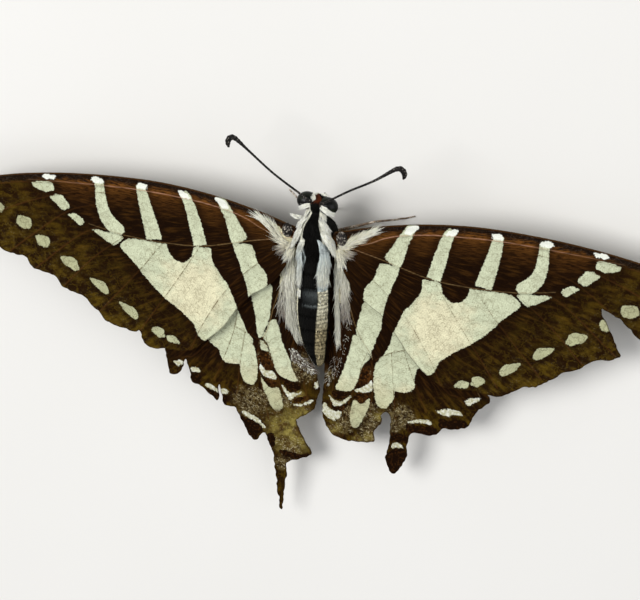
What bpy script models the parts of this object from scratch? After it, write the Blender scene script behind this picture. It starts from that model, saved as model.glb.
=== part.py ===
"""Spot swordtail butterfly, life size, standing with its wings spread flat.

Sizes are in millimetres and become metres at the end. +X is the butterfly's right, +Y is where its
head points and +Z is up. Body sizes are measured from a point midway between the forewing hinges.
Wing sizes are measured in the plane of the wing, from its hinge: u runs outwards, v forwards.
"""

import math

import bpy
import numpy as np
from mathutils.geometry import delaunay_2d_cdt

MM = 0.001
GAP = 0.3

# How the body stands
FLOOR_LEVEL = -6.2

# How the wings are held
HINGE_SIDE = 2.5
HINGE_UP = 0.8
HINDWING_BELOW = 1.0
DROOP = 3.0
INCIDENCE = 4.8
FOREWING_SWEEP = {"left": 0.7, "right": -0.7}
WING_BOW = 0.4
WING_REACH = 42.0

# How thick the wings are
MEMBRANE_HALF = 0.25
VEIN_RAISED = 0.1
VEIN_HALF_WIDTH = 0.42
FOLD_FROM = 1.5
FOLD_RATE = 0.06

SIDES = {"left": -1.0, "right": 1.0}

# Body outline at stations along Y: where, half width, top, bottom, and how far the abdomen sways
HEAD = [
    (2.55, 0.95, 1.15, -0.75),
    (3.0, 1.25, 1.45, -1.05),
    (3.5, 1.30, 1.45, -1.15),
    (4.1, 1.00, 1.10, -1.00),
    (4.4, 0.60, 0.70, -0.70),
]
THORAX = [
    (2.25, 1.05, 1.45, -0.90),
    (1.8, 1.50, 1.85, -1.60),
    (1.2, 2.00, 2.20, -2.55),
    (0.3, 2.35, 2.45, -3.25),
    (-0.8, 2.40, 2.35, -3.30),
    (-2.0, 2.15, 1.95, -2.80),
    (-3.0, 1.65, 1.35, -2.00),
]
ABDOMEN = [
    (-3.3, 1.50, 1.15, -1.70, -0.25),
    (-5.0, 1.85, 1.35, -2.00, -0.40),
    (-8.0, 2.05, 1.35, -2.10, -0.45),
    (-11.0, 1.98, 1.10, -2.10, -0.42),
    (-14.0, 1.50, 0.60, -1.90, -0.20),
    (-16.0, 0.85, 0.10, -1.60, 0.20),
    (-16.8, 0.30, -0.35, -1.20, 0.30),
]
ABDOMEN_SEGMENTS = 8
SEGMENT_GROOVE = 0.12

# Eyes: domes on the flattened sides of the head
EYE_AT = (3.5, 0.30)
EYE_BASE = 1.18
EYE_DEPTH = 1.25
EYE_RADIUS = 1.0
HEAD_FLAT = 0.90

# Forewing: leading edge from hinge to tip, and inner margin from hinge to the rear corner
FORE_COSTA = [
    (0.35, 0.7), (4.4, 1.9), (10.0, 3.0), (16.0, 3.5), (22.0, 3.3),
    (28.0, 2.65), (34.0, 1.5), (38.6, 0.1), (41.6, -1.9),
]
FORE_INNER = [
    (0.0, -2.3), (1.1, -4.7), (2.3, -6.5), (3.6, -7.8), (5.4, -9.2), (6.9, -11.1),
    (8.4, -13.4), (9.9, -15.1), (11.3, -16.3),
]
# Outer margin of each forewing from tip to rear corner, by the vein that ends there
FORE_MARGIN = {
    "left": {
        "r4": (42.0, -3.6), "r5": (40.0, -6.2), "m1": (35.6, -8.8), "m2": (32.1, -10.5),
        "m3": (28.7, -12.0), "cua1": (24.1, -14.5), "cua2": (19.8, -16.5), "a2": (12.8, -17.8),
    },
    "right": {
        "r4": (42.0, -3.6), "r5": (40.2, -6.6), "m1": (35.4, -8.7), "m2": (32.7, -10.3),
        "m3": (28.4, -12.4), "cua1": (24.1, -15.1), "cua2": (19.0, -17.5), "a2": (12.4, -17.3),
    },
}
# Torn places of the margin: the vein before it, then the points that the tear runs through
FORE_TEARS = {
    "left": {
        "m1": [(33.2, -9.0), (32.5, -10.3)],
        "m2": [(30.2, -10.7), (29.4, -11.0)],
        "cua1": [(23.2, -15.6), (21.2, -16.0)],
        "cua2": [(18.9, -15.9), (18.5, -17.5), (17.6, -18.1), (15.6, -17.7)],
    },
    "right": {
        "m1": [(34.3, -7.6), (32.2, -5.7), (30.1, -4.5), (30.4, -5.5), (31.4, -7.5)],
        "m2": [(31.4, -10.8), (30.2, -11.1)],
    },
}
FORE_VEINS = {
    "subcosta": [(0.6, 0.4), (6.0, 2.0), (12.0, 2.85), (18.0, 3.2)],
    "radius": [(0.6, 0.0), (3.0, -0.4), (7.5, 1.2), (13.0, 2.1), (19.0, 2.2), (26.0, 2.1), (31.5, 1.9)],
    "r5": [(21.5, 1.2), (27.0, 0.4), (34.0, -2.4), (40.0, -6.2)],
    "m1": [(23.2, 0.0), (28.0, -2.4), (35.2, -8.6)],
    "m2": [(22.6, -2.2), (27.0, -5.6), (32.0, -10.3)],
    "cell_end": [(21.0, 1.9), (23.3, 0.0), (22.6, -2.2), (20.4, -3.9)],
    "m3": [(0.6, -0.8), (5.2, -2.0), (10.8, -3.6), (15.5, -4.0), (20.4, -3.9), (24.6, -7.6), (28.5, -12.0)],
    "cua1": [(15.8, -4.0), (18.7, -8.0), (23.9, -14.4)],
    "cua2": [(11.3, -3.8), (14.3, -8.8), (19.0, -16.2)],
    "a2": [(0.6, -1.3), (4.0, -4.4), (8.0, -8.6), (11.0, -13.6), (12.6, -17.3)],
}

# Hindwing: edge under the forewing and edge along the abdomen
HIND_COSTA = [
    (0.3, -0.8), (4.0, -1.9), (9.0, -5.4), (13.2, -10.2), (16.3, -15.0),
]
HIND_INNER = {
    "left": [
        (-0.25, -3.5), (0.1, -5.0), (0.4, -8.0), (0.35, -11.0), (-0.1, -14.0), (-1.0, -16.2), (-1.9, -18.4),
    ],
    "right": [
        (-0.45, -3.5), (-0.5, -5.0), (-0.55, -8.0), (-0.55, -11.0), (-0.8, -14.0), (-1.3, -16.2), (-1.9, -18.4),
    ],
}
# Rear edge of each hindwing from the outside to the abdomen, worn and torn as it is
HIND_MARGIN = {
    "left": [
        (16.4, -18.4), (16.2, -20.4), (15.9, -21.5), (14.6, -20.9), (13.9, -18.9), (13.4, -20.6),
        (13.3, -22.0), (11.8, -22.3), (11.0, -23.3), (10.1, -24.2), (9.75, -21.5), (9.3, -24.4),
        (7.6, -24.3), (7.2, -26.0), (6.4, -27.7), (5.4, -28.5), (4.9, -27.4), (4.0, -27.2),
        (3.2, -29.4), (2.9, -33.0), (2.6, -37.2), (2.1, -37.2), (1.9, -33.0), (1.4, -30.4),
        (-1.3, -29.6), (-0.2, -27.4), (0.4, -24.6), (-1.7, -23.6), (-2.15, -20.6),
    ],
    "right": [
        (17.8, -18.9), (16.2, -20.2), (15.9, -21.2), (15.3, -22.7), (13.6, -23.0), (11.7, -23.1),
        (11.2, -24.1), (9.4, -24.2), (8.2, -24.4), (7.9, -26.6), (7.9, -28.3), (6.9, -30.2),
        (6.2, -30.0), (5.7, -28.4), (5.9, -26.6), (6.4, -25.0), (6.2, -22.4), (5.2, -23.0),
        (4.2, -24.5), (4.2, -26.1), (-0.6, -26.9), (-1.6, -25.6), (-2.15, -23.6), (-2.1, -20.6),
    ],
}
HIND_VEINS = {
    "sc": [(0.4, -1.8), (6.0, -5.2), (12.5, -11.6), (16.6, -18.4)],
    "rs": [(0.4, -2.4), (4.2, -7.2), (8.2, -12.6), (12.6, -18.2), (14.0, -18.8)],
    "m1": [(7.2, -11.3), (8.0, -15.0), (10.4, -21.4)],
    "m2": [(6.2, -14.9), (7.0, -18.6), (7.7, -24.0)],
    "cell_end": [(8.0, -13.6), (6.2, -14.9), (4.4, -15.0), (2.9, -13.8)],
    "m3": [(4.4, -15.0), (4.8, -19.0), (4.5, -23.6), (4.2, -26.0)],
    "cua1": [(0.2, -3.0), (1.3, -7.6), (2.5, -12.4), (2.3, -18.0), (1.2, -23.6), (0.9, -26.6)],
    "a2": [(0.1, -4.2), (0.2, -9.0), (0.6, -14.0), (-0.4, -19.0), (-1.2, -23.4)],
}

# Antennae: centre lines from the head, thickened and hooked at the end
ANTENNA = {
    "left": [
        (-0.66, 4.2, 1.50), (-1.5, 5.0, 1.95), (-4.5, 7.3, 2.6), (-7.3, 9.7, 2.9), (-8.6, 10.7, 2.9),
        (-9.2, 10.95, 2.8), (-9.65, 10.5, 2.6), (-9.7, 9.8, 2.4),
    ],
    "right": [
        (0.80, 4.0, 1.50), (1.6, 4.5, 1.95), (4.2, 6.3, 2.6), (7.1, 8.0, 2.9), (9.4, 9.6, 2.9),
        (10.0, 9.9, 2.8), (10.5, 9.5, 2.6), (10.3, 8.6, 2.4),
    ],
}
ANTENNA_RADIUS = [0.26, 0.25, 0.25, 0.26, 0.34, 0.40, 0.38, 0.26]

# Legs: root under the thorax, knee, ankle and tip of the foot, with X counted outwards
LEGS = {
    "foreleg_left": [(0.80, 1.3, -2.95), (2.5, 2.1, -3.1), (4.2, 1.1, -6.0), (5.3, 2.1, -6.0)],
    "foreleg_right": [(0.45, 1.4, -3.08), (0.80, 1.7, -4.3), (0.3, 0.4, -6.0), (0.0, 1.3, -6.0)],
    "midleg_left": [(0.95, -1.15, -3.72), (4.5, -1.6, -2.7), (6.9, -2.6, -6.0), (8.8, -3.7, -6.0)],
    "midleg_right": [(0.95, -1.15, -3.72), (5.8, 0.95, -2.7), (8.3, 0.4, -6.0), (9.6, 0.85, -6.0)],
    "hindleg_left": [(0.85, -2.5, -2.97), (3.3, -5.5, -3.0), (4.5, -10.2, -6.0), (5.4, -14.4, -6.0)],
    "hindleg_right": [(0.85, -2.5, -2.97), (3.3, -5.5, -3.0), (4.5, -10.2, -6.0), (5.4, -14.4, -6.0)],
}
HIP_STEP = (0.5, 0.0, -0.2)
KNEE_ROUNDED = 0.1
LEG_RADIUS = [0.50, 0.46, 0.36, 0.34, 0.28, 0.27, 0.27, 0.27, 0.25]

PALP = [(0.34, 4.96, -0.95), (0.36, 5.04, -0.60), (0.34, 5.06, -0.20), (0.30, 5.00, 0.10)]
PALP_RADIUS = [0.24, 0.27, 0.25, 0.20]
COIL_CENTRE = (2.95, -2.30)
COIL_START = 0.72
COIL_END = 0.30
COIL_TURNS = 1.0
COIL_RADIUS = 0.22


def smooth(stations, count):
    """Points spaced evenly along a smooth curve through the stations (a Catmull-Rom spline)."""
    knots = np.array(stations, float)
    ends = np.vstack([2 * knots[0] - knots[1], knots, 2 * knots[-1] - knots[-2]])
    fine = []
    for p0, p1, p2, p3 in zip(ends[:-3], ends[1:-2], ends[2:-1], ends[3:]):
        t = np.linspace(0, 1, 24, endpoint=False)[:, None]
        fine.append(
            0.5 * (2 * p1 + (p2 - p0) * t + (2 * p0 - 5 * p1 + 4 * p2 - p3) * t**2
                   + (3 * p1 - p0 - 3 * p2 + p3) * t**3)
        )
    fine = np.vstack(fine + [knots[-1:]])
    along = np.concatenate([[0], np.cumsum(np.linalg.norm(np.diff(fine, axis=0), axis=1))])
    even = np.linspace(0, along[-1], count)
    return np.column_stack([np.interp(even, along, column) for column in fine.T])


def length_of(points):
    return float(np.linalg.norm(np.diff(np.array(points, float), axis=0), axis=1).sum())


def stepped(stations, step):
    return smooth(stations, max(2, round(length_of(stations) / step) + 1))


def turned(axis, degrees):
    c, s = math.cos(math.radians(degrees)), math.sin(math.radians(degrees))
    if axis == "x":
        return np.array([[1, 0, 0], [0, c, -s], [0, s, c]])
    if axis == "y":
        return np.array([[c, 0, s], [0, 1, 0], [-s, 0, c]])
    return np.array([[c, -s, 0], [s, c, 0], [0, 0, 1]])


def placed(points, side, sweep, below):
    """Wing-plane points (u, v, height) set at the hinge of one side of the body."""
    turn = turned("y", DROOP) @ turned("x", INCIDENCE) @ turned("z", sweep)
    at = points @ turn.T + [HINGE_SIDE, 0, HINGE_UP - below]
    at[:, 0] *= SIDES[side]
    return at


def half_width(stations, y, z):
    """How far out the skin of the body is at one place along it and one height."""
    rows = np.array(sorted(stations))
    wide, top, low = (np.interp(y, rows[:, 0], rows[:, k]) for k in (1, 2, 3))
    middle, half = (top + low) / 2, (top - low) / 2
    return wide * math.sqrt(max(0.0, 1 - ((z - middle) / half) ** 2))


def solid(name, points, faces, colour, roughness, smooth_faces=True):
    """One named object with its own material, from points in millimetres."""
    mesh = bpy.data.meshes.new(name)
    mesh.from_pydata([tuple(p) for p in np.array(points) * MM], [], faces)
    mesh.update()
    obj = bpy.data.objects.new(name, mesh)
    bpy.context.scene.collection.objects.link(obj)
    material = bpy.data.materials.new(name)
    material.use_nodes = True
    shader = material.node_tree.nodes["Principled BSDF"]
    shader.inputs["Base Color"].default_value = (*colour, 1)
    shader.inputs["Roughness"].default_value = roughness
    mesh.materials.append(material)
    for polygon in mesh.polygons:
        polygon.use_smooth = smooth_faces
    return obj


def ring_faces(rings, around):
    """Quads between rings of points that follow one another, and a flat cap on each end."""
    faces = []
    for r in range(rings - 1):
        for k in range(around):
            n = (k + 1) % around
            faces.append((r * around + k, r * around + n, (r + 1) * around + n, (r + 1) * around + k))
    faces.append(tuple(reversed(range(around))))
    faces.append(tuple(range((rings - 1) * around, rings * around)))
    return faces


def loft(stations, rings, around, groove=0.0, segments=1, flat=None):
    """A stretch of the body: rounded rings across Y through the stations."""
    rows = smooth(stations, rings)
    angle = np.linspace(0, 2 * math.pi, around, endpoint=False)
    points = []
    for i, (y, wide, top, low, *sway) in enumerate(rows):
        phase = (i / (rings - 1) * segments) % 1.0
        shrink = 1 - groove * (1 - min(1.0, 4 * min(phase, 1 - phase))) if 0 < i < rings - 1 else 1
        middle = (top + low) / 2
        half = (top - low) / 2
        x = wide * shrink * np.cos(angle) + sum(sway)
        z = middle + half * shrink * np.sin(angle)
        if flat:
            x = np.clip(x, -flat, flat)
        points.append(np.column_stack([x, np.full(around, y), z]))
    faces = ring_faces(rings, around)
    if rows[0][0] < rows[-1][0]:
        faces = [tuple(reversed(face)) for face in faces]
    return np.vstack(points), faces


def tube(path, radii, rings, around, floor=None):
    """A tapered limb round a smooth centre line, flattened where it would pass the floor."""
    line = smooth(path, rings)
    given = np.linspace(0, 1, len(radii))
    radius = np.interp(np.linspace(0, 1, rings), given, radii)
    ahead = np.gradient(line, axis=0)
    ahead /= np.linalg.norm(ahead, axis=1)[:, None]
    across = np.cross(ahead[0], [0, 0, 1.0])
    if np.linalg.norm(across) < 0.2:
        across = np.cross(ahead[0], [1.0, 0, 0])
    angle = np.linspace(0, 2 * math.pi, around, endpoint=False)
    points = []
    for at, way, size in zip(line, ahead, radius):
        across = across - way * (across @ way)
        across /= np.linalg.norm(across)
        up = np.cross(across, way)
        ring = at + size * (np.outer(np.cos(angle), across) + np.outer(np.sin(angle), up))
        if floor is not None:
            ring[:, 2] = np.maximum(ring[:, 2], floor)
        points.append(ring)
    return np.vstack(points), ring_faces(rings, around)


def leg_line(joints):
    """Centre line of a leg: out of its root, over the rounded knee, down to the ankle, along the floor."""
    root, knee, ankle, toe = (np.array(joint) for joint in joints)
    return [
        root, root + HIP_STEP, knee + KNEE_ROUNDED * (root - knee), knee + KNEE_ROUNDED * (ankle - knee),
        (knee + ankle) / 2, ankle + KNEE_ROUNDED * (knee - ankle), ankle + KNEE_ROUNDED * (toe - ankle),
        (ankle + toe) / 2, toe,
    ]


def outward(points, faces):
    """The same faces, turned round where they enclose a negative volume."""
    p = np.array(points)
    volume = 0.0
    for face in faces:
        for a, b in zip(face[1:-1], face[2:]):
            volume += float(np.dot(p[face[0]], np.cross(p[a], p[b])))
    return faces if volume > 0 else [tuple(reversed(face)) for face in faces]


def dome(side):
    """An eye: half an ellipsoid whose flat face lies against the side of the head."""
    around, rings = 16, 6
    angle = np.linspace(0, 2 * math.pi, around, endpoint=False)
    points = []
    for r in range(rings):
        rise = r / rings * math.pi / 2
        size = EYE_RADIUS * math.cos(rise) ** 0.9
        out = np.full(around, EYE_BASE + EYE_DEPTH * math.sin(rise))
        points.append(np.column_stack([out, EYE_AT[0] + size * np.cos(angle), EYE_AT[1] + size * np.sin(angle)]))
    points = np.vstack(points + [[[EYE_BASE + EYE_DEPTH, *EYE_AT]]])
    faces = ring_faces(rings, around)[:-1]
    top = (rings - 1) * around
    faces += [(top + k, top + (k + 1) % around, len(points) - 1) for k in range(around)]
    points[:, 0] *= SIDES[side]
    return points, outward(points, faces)


def forewing_outline(side):
    """The forewing's edge: leading edge, worn outer margin, inner margin and root."""
    margin = FORE_MARGIN[side]
    tears = FORE_TEARS[side]
    names = list(margin)
    edge = [tuple(p) for p in stepped(FORE_COSTA, 1.5)]
    for name, after in zip(names, names[1:] + [None]):
        edge.append(margin[name])
        if after is None:
            break
        if name in tears:
            edge += tears[name]
        else:
            edge += bay(margin[name], margin[after])
    edge += [tuple(p) for p in stepped([margin["a2"], *reversed(FORE_INNER)], 1.5)[1:]]
    for v in (-1.6, -0.8, 0.0):
        edge.append((half_width(THORAX, v, HINGE_UP) + GAP - HINGE_SIDE, v))
    return edge


def bay(start, end):
    """Points of the hollow that the margin makes between the ends of two veins."""
    a, b = np.array(start), np.array(end)
    along = b - a
    inward = np.array([along[1], -along[0]]) / np.linalg.norm(along)
    if inward[0] > 0:
        inward = -inward
    steps = max(2, round(np.linalg.norm(along) / 1.2))
    return [
        tuple(a + along * k / steps + inward * 0.35 * math.sin(math.pi * k / steps))
        for k in range(1, steps)
    ]


def hindwing_outline(side):
    edge = [tuple(p) for p in stepped(HIND_COSTA, 1.5)]
    edge += HIND_MARGIN[side]
    edge += [tuple(p) for p in stepped(list(reversed(HIND_INNER[side])), 1.5)]
    for v in (-2.6, -1.7):
        edge.append((half_width(THORAX, v, -0.3) + GAP - HINGE_SIDE, v))
    return edge


def inside(points, polygon):
    """Which points lie within a polygon, by counting the edges that a ray crosses."""
    x, y = points[:, 0], points[:, 1]
    within = np.zeros(len(points), bool)
    for (x1, y1), (x2, y2) in zip(polygon, polygon[1:] + polygon[:1]):
        if y1 != y2:
            crosses = ((y1 > y) != (y2 > y)) & (x < (x2 - x1) * (y - y1) / (y2 - y1) + x1)
            within ^= crosses
    return within


def gap_to_lines(points, lines):
    """Distance from each point to the nearest of several polylines."""
    nearest = np.full(len(points), 1e9)
    for line in lines:
        line = np.array(line)
        for a, b in zip(line[:-1], line[1:]):
            along = b - a
            t = np.clip((points - a) @ along / (along @ along), 0, 1)
            nearest = np.minimum(nearest, np.linalg.norm(points - a - t[:, None] * along, axis=1))
    return nearest


def wing(name, outline, veins, side, sweep, below, fold, colour):
    """A wing: one sheet of even thickness, raised along its veins on both faces.

    Both faces are split into the same triangles, so the sheet keeps its thickness where it bends.
    """
    lines = [stepped(path, 2.0) for path in veins.values()]
    spots, edges = [], []

    def add(line, closed=False):
        first = len(spots)
        spots.extend(tuple(p) for p in line)
        edges.extend((k, k + 1) for k in range(first, len(spots) - 1))
        if closed:
            edges.append((len(spots) - 1, first))

    add(outline, closed=True)
    rim = list(range(len(spots)))
    for line in lines:
        ahead = np.gradient(line, axis=0)
        ahead /= np.linalg.norm(ahead, axis=1)[:, None]
        beside = np.column_stack([-ahead[:, 1], ahead[:, 0]]) * VEIN_HALF_WIDTH
        for shift in (-1, 0, 1):
            moved = line + shift * beside
            moved = moved[inside(moved, outline) & (gap_to_lines(moved, [outline + outline[:1]]) > 0.35)]
            if shift:
                others = [other for other in lines if other is not line]
                moved = moved[gap_to_lines(moved, others) > 0.5 * VEIN_HALF_WIDTH]
            if shift == 0 and len(moved) > 1:
                add(moved)
            else:
                spots.extend(tuple(p) for p in moved)
    step = 2.6
    low, high = np.min(outline, axis=0), np.max(outline, axis=0)
    grid = np.array([
        (x + (j % 2) * step / 2, y)
        for j, y in enumerate(np.arange(low[1], high[1], step * 0.87))
        for x in np.arange(low[0], high[0], step)
    ])
    grid = grid[inside(grid, outline)]
    grid = grid[gap_to_lines(grid, [np.array(outline + outline[:1])] + lines) > 0.9]
    spots.extend(tuple(p) for p in grid)
    flat, _, faces, *_ = delaunay_2d_cdt(spots, edges, [rim], 1, 1e-4)
    flat = np.array([tuple(p) for p in flat])
    faces = [tuple(face) for face in faces]
    centre = np.array([flat[list(face)].mean(axis=0) for face in faces])
    faces = [face for face, keep in zip(faces, inside(centre, outline)) if keep]
    used = sorted({k for face in faces for k in face})
    where = {k: i for i, k in enumerate(used)}
    flat = flat[used]
    faces = [tuple(where[k] for k in face) for face in faces]
    rise = np.clip(1 - gap_to_lines(flat, lines) / VEIN_HALF_WIDTH, 0, 1)
    half = MEMBRANE_HALF + VEIN_RAISED * rise
    reach = np.clip(flat[:, 0] / WING_REACH, 0, 1)
    level = WING_BOW * 4 * reach * (1 - reach)
    if fold:
        level = level - FOLD_RATE * np.clip(FOLD_FROM - flat[:, 0], 0, None) ** 2
    top = np.column_stack([flat, level + half])
    low = np.column_stack([flat, level - half])
    count = len(flat)
    owners = {}
    for face in faces:
        for a, b in zip(face, face[1:] + face[:1]):
            owners[(a, b)] = owners.get((a, b), 0) + 1
    walls = [(b, a, a + count, b + count) for a, b in owners if (b, a) not in owners]
    all_faces = faces + [tuple(k + count for k in reversed(face)) for face in faces] + walls
    points = placed(np.vstack([top, low]), side, sweep, below)
    return solid(name, points, outward(points, all_faces), colour, 0.7)


def build():
    """All the nodes of the butterfly, in millimetres from the point between the hinges."""
    black, pale = (0.02, 0.018, 0.015), (0.62, 0.66, 0.55)
    made = []
    points, faces = loft(HEAD, 9, 20, flat=HEAD_FLAT)
    made.append(solid("head", points, outward(points, faces), black, 0.5))
    points, faces = loft(THORAX, 12, 24)
    made.append(solid("thorax", points, outward(points, faces), black, 0.5))
    points, faces = loft(ABDOMEN, 4 * ABDOMEN_SEGMENTS + 1, 20, SEGMENT_GROOVE, ABDOMEN_SEGMENTS)
    made.append(solid("abdomen", points, outward(points, faces), black, 0.45))
    for side, sign in SIDES.items():
        points, faces = dome(side)
        made.append(solid(f"eye_{side}", points, faces, (0.05, 0.035, 0.02), 0.2))
        points, faces = tube(ANTENNA[side], ANTENNA_RADIUS, 24, 8)
        made.append(solid(f"antenna_{side}", points, outward(points, faces), black, 0.4))
        points, faces = tube(PALP, PALP_RADIUS, 6, 8)
        points[:, 0] *= sign
        made.append(solid(f"palp_{side}", points, outward(points, faces), pale, 0.8))
        for leg in ("foreleg", "midleg", "hindleg"):
            name = f"{leg}_{side}"
            points, faces = tube(leg_line(LEGS[name]), LEG_RADIUS, 22, 8, FLOOR_LEVEL)
            points[:, 0] *= sign
            made.append(solid(name, points, outward(points, faces), (0.25, 0.17, 0.1), 0.5))
        made.append(
            wing(f"forewing_{side}", forewing_outline(side), FORE_VEINS, side, FOREWING_SWEEP[side], 0.0,
                 False, pale)
        )
        made.append(
            wing(f"hindwing_{side}", hindwing_outline(side), HIND_VEINS, side, 0.0, HINDWING_BELOW,
                 True, pale)
        )
    turn = np.linspace(0, 2 * math.pi * COIL_TURNS, 26)
    size = np.linspace(COIL_START, COIL_END, len(turn))
    coil = np.column_stack([
        np.zeros(len(turn)),
        COIL_CENTRE[0] + size * np.sin(turn),
        COIL_CENTRE[1] + size * np.cos(turn),
    ])
    points, faces = tube(coil, [COIL_RADIUS, COIL_RADIUS * 0.8], 26, 8)
    made.append(solid("proboscis", points, outward(points, faces), (0.1, 0.06, 0.04), 0.4))
    return made


def stand_on_floor(made):
    """Moves the whole so that the floor is at zero and the middle of its outline is the origin."""
    corners = np.vstack([[v.co[:] for v in obj.data.vertices] for obj in made])
    low, high = corners.min(axis=0), corners.max(axis=0)
    shift = np.array([-(low[0] + high[0]) / 2, -(low[1] + high[1]) / 2, -low[2]])
    for obj in made:
        at = np.empty(len(obj.data.vertices) * 3)
        obj.data.vertices.foreach_get("co", at)
        obj.data.vertices.foreach_set("co", (at.reshape(-1, 3) + shift).ravel())
        obj.data.update()


for old in list(bpy.data.objects):
    bpy.data.objects.remove(old)
stand_on_floor(build())
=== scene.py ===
"""Looks for a life-size model of a spot swordtail butterfly that stands with its wings spread.

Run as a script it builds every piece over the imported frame. Laid out as an add-on, it gives one
button for each group of pieces. Shapes are worked out in millimetres from a hub midway between the
forewing hinges: +X is the butterfly's right, +Y is ahead and +Z is up. Places on a wing are (u, v) in
the plane of that wing, from its hinge: u runs outwards and v forwards.
"""

import math

import bpy
import numpy as np
from bpy.props import FloatProperty, FloatVectorProperty, IntProperty, PointerProperty
from mathutils import Matrix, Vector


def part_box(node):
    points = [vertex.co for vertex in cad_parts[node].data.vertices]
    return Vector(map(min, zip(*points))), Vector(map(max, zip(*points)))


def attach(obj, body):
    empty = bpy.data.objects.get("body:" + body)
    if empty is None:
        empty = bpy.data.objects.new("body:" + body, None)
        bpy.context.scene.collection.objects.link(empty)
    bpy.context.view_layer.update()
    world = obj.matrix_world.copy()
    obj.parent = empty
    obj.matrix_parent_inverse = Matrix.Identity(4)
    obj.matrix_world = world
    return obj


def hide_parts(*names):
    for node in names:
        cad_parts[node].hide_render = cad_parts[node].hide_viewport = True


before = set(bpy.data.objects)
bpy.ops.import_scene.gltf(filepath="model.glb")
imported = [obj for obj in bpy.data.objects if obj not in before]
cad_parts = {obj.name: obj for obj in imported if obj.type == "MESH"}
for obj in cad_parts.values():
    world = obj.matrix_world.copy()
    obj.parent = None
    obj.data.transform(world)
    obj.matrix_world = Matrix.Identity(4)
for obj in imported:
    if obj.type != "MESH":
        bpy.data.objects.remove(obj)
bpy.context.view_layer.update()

bl_info = {
    "name": "Spot Swordtail Butterfly",
    "version": (1, 0, 0),
    "blender": (4, 5, 0),
    "location": "3D View > Sidebar > Butterfly",
    "description": "Builds a life-size spot swordtail butterfly piece by piece",
    "category": "Add Mesh",
}

MM = 0.001
SIDES = {"left": -1.0, "right": 1.0}
THORAX_FRONT = 2.25
HINGE_HEIGHT = 6.2
thorax_low, thorax_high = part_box("thorax")
HUB = np.array([
    (thorax_low.x + thorax_high.x) / 2 / MM,
    thorax_high.y / MM - THORAX_FRONT,
    HINGE_HEIGHT,
])

# How the wings are held
HINGE_SIDE, HINGE_UP, HINDWING_BELOW = 2.5, 0.8, 1.0
DROOP, INCIDENCE = 3.0, 4.8
SWEEP = {"left": 0.7, "right": -0.7}
WING_BOW, WING_REACH = 0.4, 42.0
FOLD_FROM, FOLD_RATE = 1.5, 0.06

# How a wing's patterns lie: where the fan of streaks starts, how wide a radian of it is, how far the
# underside's patterns are from the upper side's, and how soft a marking's edge is
FAN_ROOT, FAN_WIDTH, UNDER_SHIFT, EDGE_SOFT = (-4.0, 0.5), 14.0, 40.0, 0.05
# A wing on the bake's map: the corner and width of what is shown, the width that it gets there, the
# margin, how far the underside lies beside it, and the width of a wall's strip
BAKE_CORNER, BAKE_SHOWN, BAKE_WIDTH, BAKE_MARGIN = (-3.0, -38.0), 47.0, 0.48, 0.01
BAKE_BESIDE, WALL_STRIP, HAIR_PATCH = (0.5, 0.0), 0.0012, 0.003
# Spacing of the points along a wing's outline, how frayed its leading and trailing edges are, and how
# far outside a marking its distance is still told
EDGE_STEP, LEADING_WEAR, TRAILING_WEAR, TOLD_OUTSIDE = 0.22, 0.05, 0.25, 1.5
# How wide the ridges are over stout veins, fine veins and the leading edge, how far from a vein the
# sheet has sunk, and how far from the rim ridges and sag reach their full height
STEM_RIDGE, BRANCH_RIDGE, LEADING_RIDGE, SAG_REACH, RIM_REACH = 0.24, 0.17, 0.22, 1.1, 0.8

# Edges of the wings
FORE_LEADING = [
    (-0.6, 0.5), (0.35, 0.7), (4.4, 1.9), (10.0, 3.0), (16.0, 3.5), (22.0, 3.3), (28.0, 2.65), (34.0, 1.5),
    (38.6, 0.1), (41.6, -1.9),
]
FORE_TRAILING = [
    (11.3, -16.3), (9.9, -15.1), (8.4, -13.4), (6.9, -11.1), (5.4, -9.2), (3.6, -7.8), (2.3, -6.5),
    (1.1, -4.7), (0.0, -2.3), (-0.6, -1.6),
]
FORE_OUTER = {
    "left": [
        (42.0, -3.6), (41.2, -5.0), (40.0, -6.2), (38.2, -7.1), (35.6, -8.8), (33.2, -9.0), (32.5, -10.3),
        (32.1, -10.5), (30.2, -10.7), (29.4, -11.0), (28.7, -12.0), (26.2, -12.7), (24.1, -14.5),
        (23.2, -15.6), (21.2, -16.0), (19.8, -16.5), (18.9, -15.9), (18.5, -17.5), (17.6, -18.1),
        (15.6, -17.7), (12.8, -17.8),
    ],
    "right": [
        (42.0, -3.6), (41.3, -5.2), (40.2, -6.6), (38.0, -7.2), (35.4, -8.7), (34.3, -7.6), (32.2, -5.7),
        (30.1, -4.5), (30.4, -5.5), (31.4, -7.5), (32.7, -10.3), (31.4, -10.8), (30.2, -11.1), (28.4, -12.4),
        (26.4, -13.3), (24.1, -15.1), (21.6, -16.0), (19.0, -17.5), (15.8, -17.1), (12.4, -17.3),
    ],
}
HIND_LEADING = [(-0.7, -1.0), (0.3, -0.8), (4.0, -1.9), (9.0, -5.4), (13.2, -10.2), (16.3, -15.0)]
HIND_INNER = {
    "left": [
        (-1.9, -18.4), (-1.0, -16.2), (-0.1, -14.0), (0.35, -11.0), (0.4, -8.0), (0.1, -5.0), (-0.25, -3.5),
        (-0.9, -2.6),
    ],
    "right": [
        (-1.9, -18.4), (-1.8, -16.2), (-1.7, -14.0), (-1.65, -11.0), (-1.6, -8.0), (-1.45, -5.0),
        (-1.2, -3.5), (-1.0, -2.6),
    ],
}
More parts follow.
